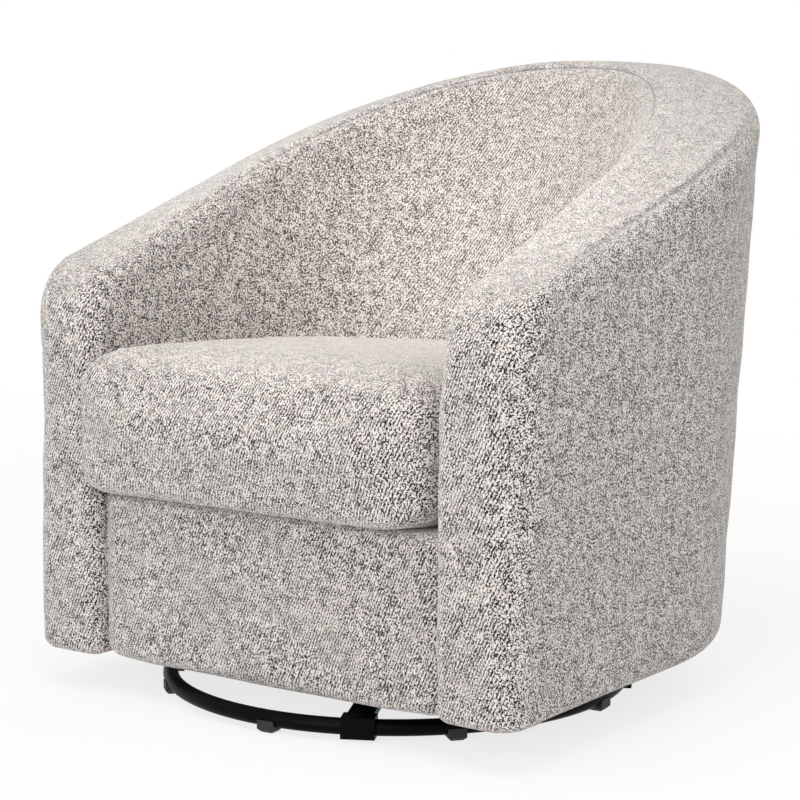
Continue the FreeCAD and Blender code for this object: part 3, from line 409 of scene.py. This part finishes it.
# Painted shade: the seam weight darkens the cloth towards 3d3936 in dashes. In the outer seam's groove and
# the arms' cross seams this is painted shade. Along the stitched seams it is partly the stitching and partly
# painted shade.
seam_near = add(tree, "ShaderNodeAttribute", attribute_name="seam").outputs["Fac"]
along = add(tree, "ShaderNodeAttribute", attribute_name="along").outputs["Fac"]
stitch_turn = combine(tree, "MULTIPLY", along, 2 * np.pi / stitch_pitch)
stitch_wave = add(tree, "ShaderNodeMath", {0: stitch_turn}, operation="SINE")
stitch = add(tree, "ShaderNodeMapRange", {"Value": stitch_wave.outputs["Value"], "From Min": -0.6,
                                          "From Max": 0.3, "To Min": 0.35, "To Max": 0.95})
seam_shade_and_stitch = combine(tree, "MULTIPLY", seam_near, stitch.outputs["Result"])
cloth = blend(tree, seam_shade_and_stitch, yarn, colour("3d3936"))
bump = add(tree, "ShaderNodeBump", {"Height": loops.outputs["Fac"], "Strength": 1.0, "Distance": 0.0022})
shader.inputs["Roughness"].default_value = 0.95
shader.inputs["Specular IOR Level"].default_value = 0.15
shader.inputs["Sheen Weight"].default_value = 0.75
shader.inputs["Sheen Roughness"].default_value = 0.45
shader.inputs["Sheen Tint"].default_value = colour("f5f0ea")
tree.links.new(cloth, shader.inputs["Base Color"])
tree.links.new(bump.outputs["Normal"], shader.inputs["Normal"])

# The profile at each station: the flange, a quarter round, the leaning face and the rim's edge to the seam.
stations = even_stations(321)
rim_top = rim_height(stations)
across = across_wall(stations)
bottom_edge = mix(bottom_edge_back, bottom_edge_front, np.abs(stations))
under = np.linspace(1, 0, 5)[None, :-1]
turn = np.linspace(np.pi / 2, 0, 10)[None, :-1]
climb = np.linspace(0, 1, 90)[None, :-1]
crest = outer_seam_turn * np.sin(np.linspace(0, np.pi / 2, 18))[None, :]
cover_inset = np.concatenate([bottom_edge + flange * under, bottom_edge * (1 - np.cos(turn)),
                              0 * stations + 0 * climb,
                              rim_edge * (1 - np.cos(crest)) + 0 * stations], axis=1)
cover_z = np.concatenate([body_bottom + 0 * stations + 0 * under,
                          body_bottom + bottom_edge * (1 - np.sin(turn)),
                          mix(body_bottom + bottom_edge, rim_top - rim_edge, climb),
                          rim_top - rim_edge * (1 - np.sin(crest))], axis=1)
cover_points = outer_wall(stations, cover_z) + across * cover_inset[..., None]
to_seam = run_along(cover_points[:, ::-1], 1)[:, ::-1]
seam_fade = smooth_step(1.0, 0.80, np.abs(stations)) * smooth_step(0.20, 0.45, np.abs(stations))
groove = np.exp(-(to_seam / seam_width) ** 2) * seam_fade
loose = smooth_step(0.0, 0.02, 1 - np.abs(stations)) * smooth_step(body_bottom, body_bottom + 0.05, cover_z)
uneven = softness(cover_points, panel_softness) * loose * smooth_step(0, 0.03, to_seam)
lift = uneven - seam_depth * groove
cover_points = cover_points + facing(cover_points) * lift[..., None]
# The outer seam's groove gets painted shade.
cover_seam = outer_seam_shade * groove
upholster("outside_cover_boucle", cover_points, cover_seam, run_along(cover_points, 0),
          ["outside_cover"])


# Rim band: a strip of the same boucle laid over the top of the wall between two seams, one on the outer
# edge and a stitched one towards the inside. It is padded, so it stands a little proud of the seams.
inner_seam_turn = np.radians(48)
band_crown, band_softness = 0.0022, 0.0008
stitch_width, inner_seam_depth = 0.0013, 0.6 * seam_depth

# The profile at each station: the last of the outer edge, level across the wall, and over the start of the
# inner edge as far as the stitched seam.
edge_turn = np.linspace(outer_seam_turn, np.pi / 2, 7)[None, :-1]
band_share = 0.5 - 0.5 * np.cos(np.pi * np.linspace(0, 1, 26))[None, :-1, None]
inner_turn = np.linspace(np.pi / 2, inner_seam_turn, 10)[None, :]
band_edge = outer_wall(stations, rim_top - rim_edge * (1 - np.sin(edge_turn)))
band_edge = band_edge + across * (rim_edge * (1 - np.cos(edge_turn)) + 0 * stations)[..., None]
band_start = outer_wall(stations, rim_top) + across * rim_edge
band_end = inner_wall(stations, rim_top - rim_edge * (1 - np.sin(inner_turn)))
band_end = band_end - across * (rim_edge * (1 - np.cos(inner_turn)) + 0 * stations)[..., None]
band_points = np.concatenate([band_edge, mix(band_start, band_end[:, :1], band_share), band_end], axis=1)
from_outer = run_along(band_points, 1)
from_inner = from_outer[:, -1:] - from_outer
band_share = from_outer / from_outer[:, -1:]
outer_groove = np.exp(-(from_outer / seam_width) ** 2) * seam_fade
inner_groove = np.exp(-(from_inner / seam_width) ** 2)
proud = band_crown * 4 * band_share * (1 - band_share) * smooth_step(1.0, 0.95, np.abs(stations))
calm = smooth_step(0, 0.02, from_outer) * smooth_step(0, 0.02, from_inner)
grooves = seam_depth * outer_groove + inner_seam_depth * inner_groove
lift = proud + softness(band_points, band_softness) * calm - grooves
band_points = band_points + facing(band_points) * lift[..., None]
stitch_fade = mix(0.25, 1.0, smooth_step(0.60, 0.35, np.abs(stations)))
# The stitched seam's dark line: partly the stitching and partly painted shade, fainter on the arms.
stitched = np.exp(-(from_inner / stitch_width) ** 2) * stitch_fade
band_seam = np.maximum(outer_seam_shade * outer_groove, stitched)
upholster("rim_band_boucle", band_points, band_seam, run_along(band_points, 0), ["rim_band"])


# Inside pad: the foam and boucle that line the back and the arms, from the stitched seam on the rim
# down behind the seat cushion. The back part is fuller than the arms.
pad_fullness = 0.006

# The profile at each station: from the seam over the rim's inner edge, then down the reclining face.
over_edge = np.linspace(inner_seam_turn, 0, 16)[None, :-1]
descend = np.linspace(0, 1, 80)[None, :]
pad_inset = np.concatenate([rim_edge * (1 - np.cos(over_edge)) + 0 * stations,
                            0 * stations + 0 * descend], axis=1)
pad_z = np.concatenate([rim_top - rim_edge * (1 - np.sin(over_edge)),
                        mix(rim_top - rim_edge, deck_level, descend)], axis=1)
pad_points = inner_wall(stations, pad_z) - across * pad_inset[..., None]
from_seam = run_along(pad_points, 1)
down_share = from_seam / from_seam[:, -1:]
swelling = np.sin(np.pi * np.clip(down_share * 1.15, 0, 1))
full = pad_fullness * swelling * smooth_step(0.75, 0.35, np.abs(stations))
pad_groove = np.exp(-(from_seam / seam_width) ** 2)
loose = smooth_step(0, 0.02, 1 - np.abs(stations)) * smooth_step(0, 0.03, from_seam)
lift = full + softness(pad_points, panel_softness) * loose - inner_seam_depth * pad_groove
pad_points = pad_points + facing(pad_points) * lift[..., None]
# The stitched seam's dark line on the pad: partly the stitching and partly painted shade.
pad_seam = np.exp(-(from_seam / stitch_width) ** 2) * stitch_fade
upholster("inside_pad_boucle", pad_points, pad_seam, run_along(pad_points, 0), ["inside_back_pad"])


# Arm fronts: padded caps over the front of each arm, with a round nose on top, a wide round outer edge and
# a tighter inner one. A short cross seam joins two lengths of cloth under the nose.
nose_radius = 0.084
arm_outer_edge, arm_low_edge, arm_bottom_edge = 0.056, 0.036, 0.014
arm_inner_edge, arm_inner_top_edge = 0.020, 0.034
face_crown = 0.0030
cross_seam_z, cross_seam_depth, cross_seam_width = 0.432, 0.0012, 0.0045
cross_stitch_width, cross_seam_shade = 0.0018, 0.12
flange_overlap = 0.001

# The middle line: down the rim's slope, round the nose, and down the flat front to the bottom edge.
slope_angle = np.arctan(rim_slope)
arm_top = float(rim_height(np.array(1.0)))
nose_centre = arm_top - rim_slope * arm_depth - nose_radius * np.tan((np.pi / 2 - slope_angle) / 2)
nose_turn = np.linspace(slope_angle, np.pi / 2, 34)
front_z = np.linspace(nose_centre, body_bottom + arm_bottom_edge, 110)[1:]
line_y = np.concatenate([[arm_back_y], arm_front_y + nose_radius * (1 - np.sin(nose_turn)),
                         0 * front_z + arm_front_y])
line_z = np.concatenate([[arm_top], nose_centre + nose_radius * np.cos(nose_turn), front_z])
turn_share = (nose_turn - slope_angle) / (np.pi / 2 - slope_angle)
nose_share = np.concatenate([[0], turn_share, 0 * front_z + 1])
back_z = np.concatenate([[arm_top - rim_edge], mix(arm_top - rim_edge, nose_centre, turn_share), front_z])
arm_corner = mix(arm_outer_edge, arm_low_edge, smooth_step(0.40, 0.08, line_z))
outer_radius = mix(rim_edge, arm_corner, nose_share)[:, None]
inner_corner = mix(arm_inner_edge, arm_inner_top_edge, smooth_step(0.38, 0.50, line_z))
inner_radius = mix(rim_edge, inner_corner, nose_share)[:, None]
outer_x = outer_wall(1.0, back_z)[:, :1]
inner_x = inner_wall(1.0, np.maximum(back_z, deck_level))[:, :1]
depth = np.hypot(arm_back_y - line_y, back_z - line_z)[:, None]

# Across: the outer side, a quarter round, the front, a tighter quarter round and the inner side. Each point
# lies a share of the way from the middle line back to the plane where the arm's other panels start.
side = np.linspace(1, 0, 6)[None, :-1]
inner_side = np.linspace(0, 1, 5)[None, :]
round_off = np.linspace(0, np.pi / 2, 22)[None, :-1]
flat = np.linspace(0, 1, 24)[None, :-1]
round_in = np.linspace(np.pi / 2, 0, 14)[None, :-1]
outer_drop, inner_drop = np.minimum(outer_radius, depth), np.minimum(inner_radius, depth)
arm_x = np.concatenate([outer_x + 0 * side, outer_x - outer_radius * (1 - np.cos(round_off)),
                        mix(outer_x - outer_radius, inner_x + inner_radius, flat),
                        inner_x + inner_radius * (1 - np.cos(round_in)), inner_x + 0 * inner_side], axis=1)
arm_drop = np.concatenate([mix(outer_drop, depth, side), outer_drop * (1 - np.sin(round_off)),
                           0 * depth + 0 * flat, inner_drop * (1 - np.sin(round_in)),
                           mix(inner_drop, depth, inner_side)], axis=1)
back_share = arm_drop / depth
arm_y = mix(line_y[:, None], arm_back_y, back_share)
arm_z = mix(line_z[:, None], back_z[:, None], back_share)
arm_points = np.stack([arm_x, arm_y, arm_z], axis=-1)
on_front = smooth_step(0.95, 0.70, back_share)
cross_groove = np.exp(-((arm_z - cross_seam_z) / cross_seam_width) ** 2) * on_front
middle_share = np.clip((outer_x - arm_x) / (outer_x - inner_x), 0, 1)
bulge = face_crown * 4 * middle_share * (1 - middle_share) * nose_share[:, None] * on_front
lift = bulge + softness(arm_points, panel_softness) * on_front - cross_seam_depth * cross_groove
arm_points = arm_points + facing(arm_points) * lift[..., None]

# Under the bottom edge the cap turns in by a quarter round and a flange. The flange of each side ends where
# the next one starts, so that no two lie in one plane on top of each other.
level = facing(arm_points)[-1] * [1, 1, 0]
level = level / np.linalg.norm(level, axis=-1, keepdims=True)
curl = np.linspace(0, np.pi / 2, 8)[1:, None, None]
turned_in = level * arm_bottom_edge * (1 - np.cos(curl))
tucked = arm_points[-1] - turned_in - np.array([0, 0, arm_bottom_edge]) * np.sin(curl)
after_outer = side.size + round_off.size
before_inner = after_outer + flat.size
hem_reach = np.full((arm_x.shape[1], 1), arm_low_edge - arm_bottom_edge)
front_hem_y = tucked[-1, after_outer:before_inner, 1:2]
hem_reach[after_outer:before_inner] = arm_back_y - front_hem_y + flange_overlap
hem_reach[before_inner:] = arm_inner_edge - arm_bottom_edge
hem = tucked[-1:] - level * hem_reach
arm_points = np.concatenate([arm_points, tucked, hem], axis=0)
# Painted shade along the cross seam, partly its stitching.
arm_seam = cross_seam_shade * np.exp(-((arm_points[..., 2] - cross_seam_z) / cross_stitch_width) ** 2)
arm_seam[:arm_drop.shape[0]] *= on_front
mirrored = arm_points[::-1] * np.array([-1, 1, 1])
for hand, points, seam in (("right", arm_points, arm_seam), ("left", mirrored, arm_seam[::-1])):
    upholster(f"arm_front_boucle_{hand}", points, seam, run_along(points, 1), [f"arm_front_{hand}"])


# Front rail pad: the padded panel under the cushion, set back between the arms and tucked against them.
# At the bottom it is turned under like the other covers.
rail_face_y, rail_half, rail_top, rail_edge = -0.384, 0.257, 0.260, 0.016
rail_crown, rail_tuck, rail_flange, rail_softness = 0.003, 0.007, 0.05, 0.001

# The profile, from the top's back edge over a quarter round, down the face, and under the bottom edge.
rail_x = (rail_half * np.sin(np.pi / 2 * np.linspace(-1, 1, 121)))[:, None]
bend = np.linspace(0, np.pi / 2, 9)[None, :]
fall = np.linspace(0, 1, 60)[None, 1:-1]
rail_y = np.concatenate([[[arm_back_y]], rail_face_y + rail_edge * (1 - np.sin(bend)), rail_face_y + 0 * fall,
                         rail_face_y + rail_edge * (1 - np.cos(bend)), [[rail_face_y + rail_flange]]], axis=1)
rail_z = np.concatenate([[[rail_top]], rail_top - rail_edge * (1 - np.cos(bend)),
                         mix(rail_top - rail_edge, body_bottom + rail_edge, fall),
                         body_bottom + rail_edge * (1 - np.sin(bend)), [[body_bottom]]], axis=1)
rail_points = np.stack(np.broadcast_arrays(rail_x, rail_y, rail_z), axis=-1)
to_arm = rail_half - np.abs(rail_x)
crown = rail_crown * smooth_step(0, 0.10, to_arm)
lift = crown - rail_tuck * np.exp(-(to_arm / 0.010) ** 2) + softness(rail_points, rail_softness)
lift = lift * smooth_step(rail_face_y + 0.04, rail_face_y, rail_y)
rail_points = rail_points + facing(rail_points) * lift[..., None]
upholster("front_rail_boucle", rail_points, 0 * rail_points[..., 0], run_along(rail_points, 0),
          ["front_rail_pad"])


# Dust cover: thin black cloth stapled under the frame, cut out in the middle for the swivel base.
# It sags a little between the hole and the outline, in small ripples.
dust_z, dust_inset, hole_radius, swivel_y = 0.0467, 0.050, 0.215, -0.111
dust_sink = 0.0010

# From the hole to the outline in straight lines. The outline is the tub's plan and its straight front, and
# each line starts on the hole in the direction of its end.
rear = even_stations(201)
outline = outer_wall(rear[:, 0], body_bottom) + across_wall(rear[:, 0]) * dust_inset
front_x = np.linspace(outline[-1, 0], outline[0, 0], 81)[1:]
front_line = np.stack([front_x, 0 * front_x + outline[0, 1]], axis=-1)
outline = np.concatenate([outline[:, :2], front_line])
swivel = np.array([0, swivel_y])
way = (outline - swivel) / np.linalg.norm(outline - swivel, axis=1, keepdims=True)
spread = np.linspace(0, 1, 15)[None, :, None]
dust_plan = mix((swivel + way * hole_radius)[:, None, :], outline[:, None, :], spread)
ripple = 1 + 0.5 * np.sin(np.arange(len(outline))[:, None] / 3.0)
dust_sag = dust_sink * np.sin(np.pi * spread[..., 0]) * ripple
dust_points = np.concatenate([dust_plan, (dust_z - dust_sag)[..., None]], axis=-1)
dust_cloth = thicken(surface("dust_cloth", dust_points), 0.0006)

# The same cloth in black, a little smoother.
dust_cloth.data.materials.append(spunbond("spunbond_polypropylene_black", "0e0e0f", "1f1f20", 0.85))
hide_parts("dust_cover")
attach(dust_cloth, "chair")


# Seat cushion: a foam block in a boucle cover, loose on the deck. Its front hangs a little over the rail, its
# back follows the tub, and the filling swells it.
cushion_front, cushion_half, cushion_bottom, cushion_top = -0.427, 0.254, 0.2635, 0.442
cushion_middle_y, cushion_back = -0.110, 0.139
top_roll, bottom_roll = 0.046, 0.034
front_power, tucked_power, back_power = 20.0, 8.0, 2.2
cushion_flare, cushion_tuck = 0.026, 0.014
start_inset, voxel = 0.002, 0.0052
swell_top, swell_held, draw_in = 0.007, 0.002, 0.004
front_droop, back_rake = 0.010, 0.022
bag_pressure, bag_steps = 4.0, 20


def cushion_ring(turn, inset):
    """The cushion's plan at an angle: a superellipse with a square front half and a round back half. At the
    front its left corner puffs out over the arm, and its right one is rounder and tucked behind the other."""
    over, ahead = np.cos(turn), np.sin(turn)
    front_corner = np.where(over < 0, front_power, tucked_power)
    power = np.where(ahead < 0, front_corner, back_power)
    length = np.where(ahead < 0, cushion_middle_y - cushion_front, cushion_back - cushion_middle_y) - inset
    size = (np.abs(over) ** power + np.abs(ahead) ** power) ** (1 / power)
    y = cushion_middle_y + length * ahead / size
    puff = cushion_flare * smooth_step(arm_front_y, arm_front_y - 0.007, y - inset)
    tuck = cushion_tuck * smooth_step(cushion_middle_y, arm_front_y + 0.10, y)
    return (cushion_half + np.where(over < 0, puff, tuck) - inset) * over / size, y


# The profile from the middle of the underside out, round the bottom roll, up, round the top roll and in.
ring = np.linspace(0, 2 * np.pi, 241)[None, :]
arc = np.linspace(0, np.pi / 2, 12)
spoke = np.linspace(0, 1, 20)[:-1]
low, high = cushion_bottom, cushion_top - start_inset
profile_share = np.concatenate([spoke, np.ones(2 * arc.size), np.linspace(1, 0, 20)[1:]])[:, None]
profile_inset = np.concatenate([bottom_roll + 0 * spoke, bottom_roll * (1 - np.sin(arc)),
                                top_roll * (1 - np.cos(arc)), top_roll + 0 * spoke])[:, None] + start_inset
profile_z = np.concatenate([low + 0 * spoke, low + bottom_roll * (1 - np.cos(arc)),
                            high - top_roll * (1 - np.sin(arc)), high + 0 * spoke])[:, None]
ring_x, ring_y = cushion_ring(ring, profile_inset)
cushion_points = np.stack([ring_x * profile_share, mix(cushion_middle_y, ring_y, profile_share),
                           profile_z + 0 * ring], axis=-1)
cushion = surface("seat_cushion_boucle", cushion_points[:, ::-1])

# The cover is remeshed to even squares and blown up like a filled bag. No point moves further than the cap,
# and the sides and underside move less, because the tub and the deck hold them.
bpy.context.view_layer.objects.active = cushion
even = cushion.modifiers.new("even", "REMESH")
even.mode = "VOXEL"
even.voxel_size = voxel
even_mesh = bpy.data.meshes.new_from_object(cushion.evaluated_get(bpy.context.evaluated_depsgraph_get()))
cushion.modifiers.clear()
cushion.data = even_mesh
start = np.empty(len(even_mesh.vertices) * 3, dtype=np.float32)
even_mesh.vertices.foreach_get("co", start)
start = start.reshape(-1, 3)
bag = cushion.modifiers.new("bag", "CLOTH")
bag.settings.use_pressure = True
bag.settings.uniform_pressure_force = bag_pressure
bag.settings.effector_weights.gravity = 0.0
bag.settings.quality = 6
for step in range(1, bag_steps + 1):
    bpy.context.scene.frame_set(step)
blown = bpy.data.meshes.new_from_object(cushion.evaluated_get(bpy.context.evaluated_depsgraph_get()))
moved = np.empty(len(blown.vertices) * 3, dtype=np.float32)
blown.vertices.foreach_get("co", moved)
moved = moved.reshape(-1, 3)
cushion.modifiers.clear()
bpy.context.scene.frame_set(1)
shift = moved - start
size = np.linalg.norm(shift, axis=1, keepdims=True)
held_low = smooth_step(cushion_bottom + 0.05, cushion_bottom, start[:, 2:3])
held_side = smooth_step(cushion_half - 0.06, cushion_half - 0.02, np.abs(start[:, :1]))
held_back = smooth_step(-0.05, 0.05, start[:, 1:2])
held = np.maximum(held_low, np.maximum(held_side, held_back))
centre = np.array([0, cushion_middle_y, (cushion_bottom + cushion_top) / 2])
outward = np.sum(shift * (start - centre), axis=1, keepdims=True) > 0
cap = np.where(outward, mix(swell_top, swell_held, held), draw_in)
settled = start + shift * np.minimum(1, cap / np.maximum(size, 1e-9))
ahead = smooth_step(rail_face_y + 0.010, cushion_front + 0.010, settled[:, 1])
low_down = smooth_step(cushion_bottom + 0.08, cushion_bottom + 0.01, settled[:, 2])
settled[:, 2] -= front_droop * ahead * low_down
high_up = (settled[:, 2] - cushion_bottom) / (cushion_top - cushion_bottom)
settled[:, 2] -= back_rake * smooth_step(-0.36, 0.10, settled[:, 1]) * np.clip(high_up, 0, 1)
even_mesh.vertices.foreach_set("co", settled.astype(np.float32).ravel())
even_mesh.update()
even_mesh.shade_smooth()
even_out = cushion.modifiers.new("even_out", "SMOOTH")
even_out.factor = 0.5
even_out.iterations = 5
round_out = cushion.modifiers.new("round", "SUBSURF")
round_out.levels = round_out.render_levels = 1
cushion.data.materials.clear()
cushion.data.materials.append(boucle)
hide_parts("seat_cushion_cover", "seat_cushion_foam")
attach(cushion, "chair")


# Studio: a pale floor that fades into a white backdrop, four large soft lamps (in front, overhead, on the
# right and behind), a small one over the seat, and even light all round. The camera stands where the
# photograph was taken.
floor_half = 30.0


def seen_directly(tree):
    """1 for what the camera sees, also in a mirror or through glass, and 0 for the light that things give."""
    path = add(tree, "ShaderNodeLightPath")
    seen = combine(tree, "MAXIMUM", path.outputs["Is Camera Ray"], path.outputs["Is Glossy Ray"])
    return combine(tree, "MAXIMUM", seen, path.outputs["Is Transmission Ray"])


floor = surface("studio_floor", np.stack([*np.meshgrid([floor_half, -floor_half], [-floor_half, floor_half],
                                                       indexing="ij"), np.zeros((2, 2))], axis=-1))

# White paper: camera and mirror rays see it nearly self-lit, so that it is white with a soft shadow on it.
white_paper, tree, shader = new_material("white_studio_paper")
shader.inputs["Base Color"].default_value = colour("f4f4f4")
shader.inputs["Roughness"].default_value = 0.9
seen = seen_directly(tree)
place = add(tree, "ShaderNodeTexCoord").outputs["Object"]
away = add(tree, "ShaderNodeVectorMath", {0: place}, operation="LENGTH")
share = add(tree, "ShaderNodeMapRange", {"Value": away.outputs["Value"], "From Min": 0.6, "From Max": 3.0,
                                         "To Min": 0.78, "To Max": 1.0})
lit = combine(tree, "MULTIPLY", seen, share.outputs["Result"])
glow = add(tree, "ShaderNodeEmission", {"Color": colour("ffffff"), "Strength": 1.0})
paper = add(tree, "ShaderNodeMixShader", {0: lit, 1: shader.outputs["BSDF"], 2: glow.outputs["Emission"]})
tree.links.new(paper.outputs["Shader"], tree.nodes["Material Output"].inputs["Surface"])
floor.data.materials.append(white_paper)

world = bpy.data.worlds.new("white_room")
bpy.context.scene.world = world
world.use_nodes = True
tree = world.node_tree
room = tree.nodes["Background"]
room.inputs["Color"].default_value = colour("f2f3f5")
room.inputs["Strength"].default_value = 0.55
seen = seen_directly(tree)
backdrop = add(tree, "ShaderNodeBackground", {"Color": colour("ffffff"), "Strength": 1.0})
choose = add(tree, "ShaderNodeMixShader", {0: seen, 1: room.outputs["Background"],
                                           2: backdrop.outputs["Background"]})
tree.links.new(choose.outputs["Shader"], tree.nodes["World Output"].inputs["Surface"])


def aim(thing, position, target):
    """Puts a lamp or the camera at a place, looking at a target."""
    thing.location = position
    back = np.array(position) - np.array(target)
    thing.rotation_mode = "QUATERNION"
    thing.rotation_quaternion = Vector(back).to_track_quat("Z", "Y")


# Each lamp's name, place, power in watts, width, spread in degrees, and where it points.
chair_middle, seat_middle = (0.0, -0.05, 0.4), (-0.10, 0.08, 0.38)
lamps = (("key", (0.3, -3.8, 1.5), 59.0, 2.2, 180, chair_middle),
         ("top", (0.0, -0.9, 3.3), 36.0, 2.0, 180, chair_middle),
         ("fill", (3.2, -0.4, 1.4), 21.0, 2.2, 180, chair_middle),
         ("back", (-0.9, 3.6, 1.3), 34.0, 2.2, 180, chair_middle),
         ("seat", (0.35, -0.70, 1.25), 0.85, 0.5, 50, seat_middle))
for lamp_name, position, power, width, spread, target in lamps:
    lamp = bpy.data.lights.new(lamp_name, "AREA")
    lamp.shape = "DISK"
    lamp.size = width
    lamp.energy = power
    lamp.spread = np.radians(spread)
    holder = bpy.data.objects.new(lamp_name, lamp)
    bpy.context.scene.collection.objects.link(holder)
    aim(holder, position, target)

# The camera: its distance, turn and rise from the point it looks at, and its lens in pixels of the photo.
picture_width = 800
view_point, view_distance = (0.0, -0.111, 0.4), 3.0
view_turn, view_rise = np.radians(36.18), np.radians(7.1)
focal_pixels, middle_pixel = 2351.0, (396.44, 372.3)
camera = bpy.data.cameras.new("camera")
camera.sensor_width = 36.0
camera.lens = focal_pixels * camera.sensor_width / picture_width
camera.shift_x = (picture_width / 2 - middle_pixel[0]) / picture_width
camera.shift_y = (middle_pixel[1] - picture_width / 2) / picture_width
stand = bpy.data.objects.new("camera", camera)
bpy.context.scene.collection.objects.link(stand)
back = np.array([np.sin(view_turn) * np.cos(view_rise), -np.cos(view_turn) * np.cos(view_rise),
                 np.sin(view_rise)])
aim(stand, (np.array(view_point) + view_distance * back).tolist(), view_point)
bpy.context.scene.camera = stand
bpy.context.scene.view_settings.view_transform = "Standard"
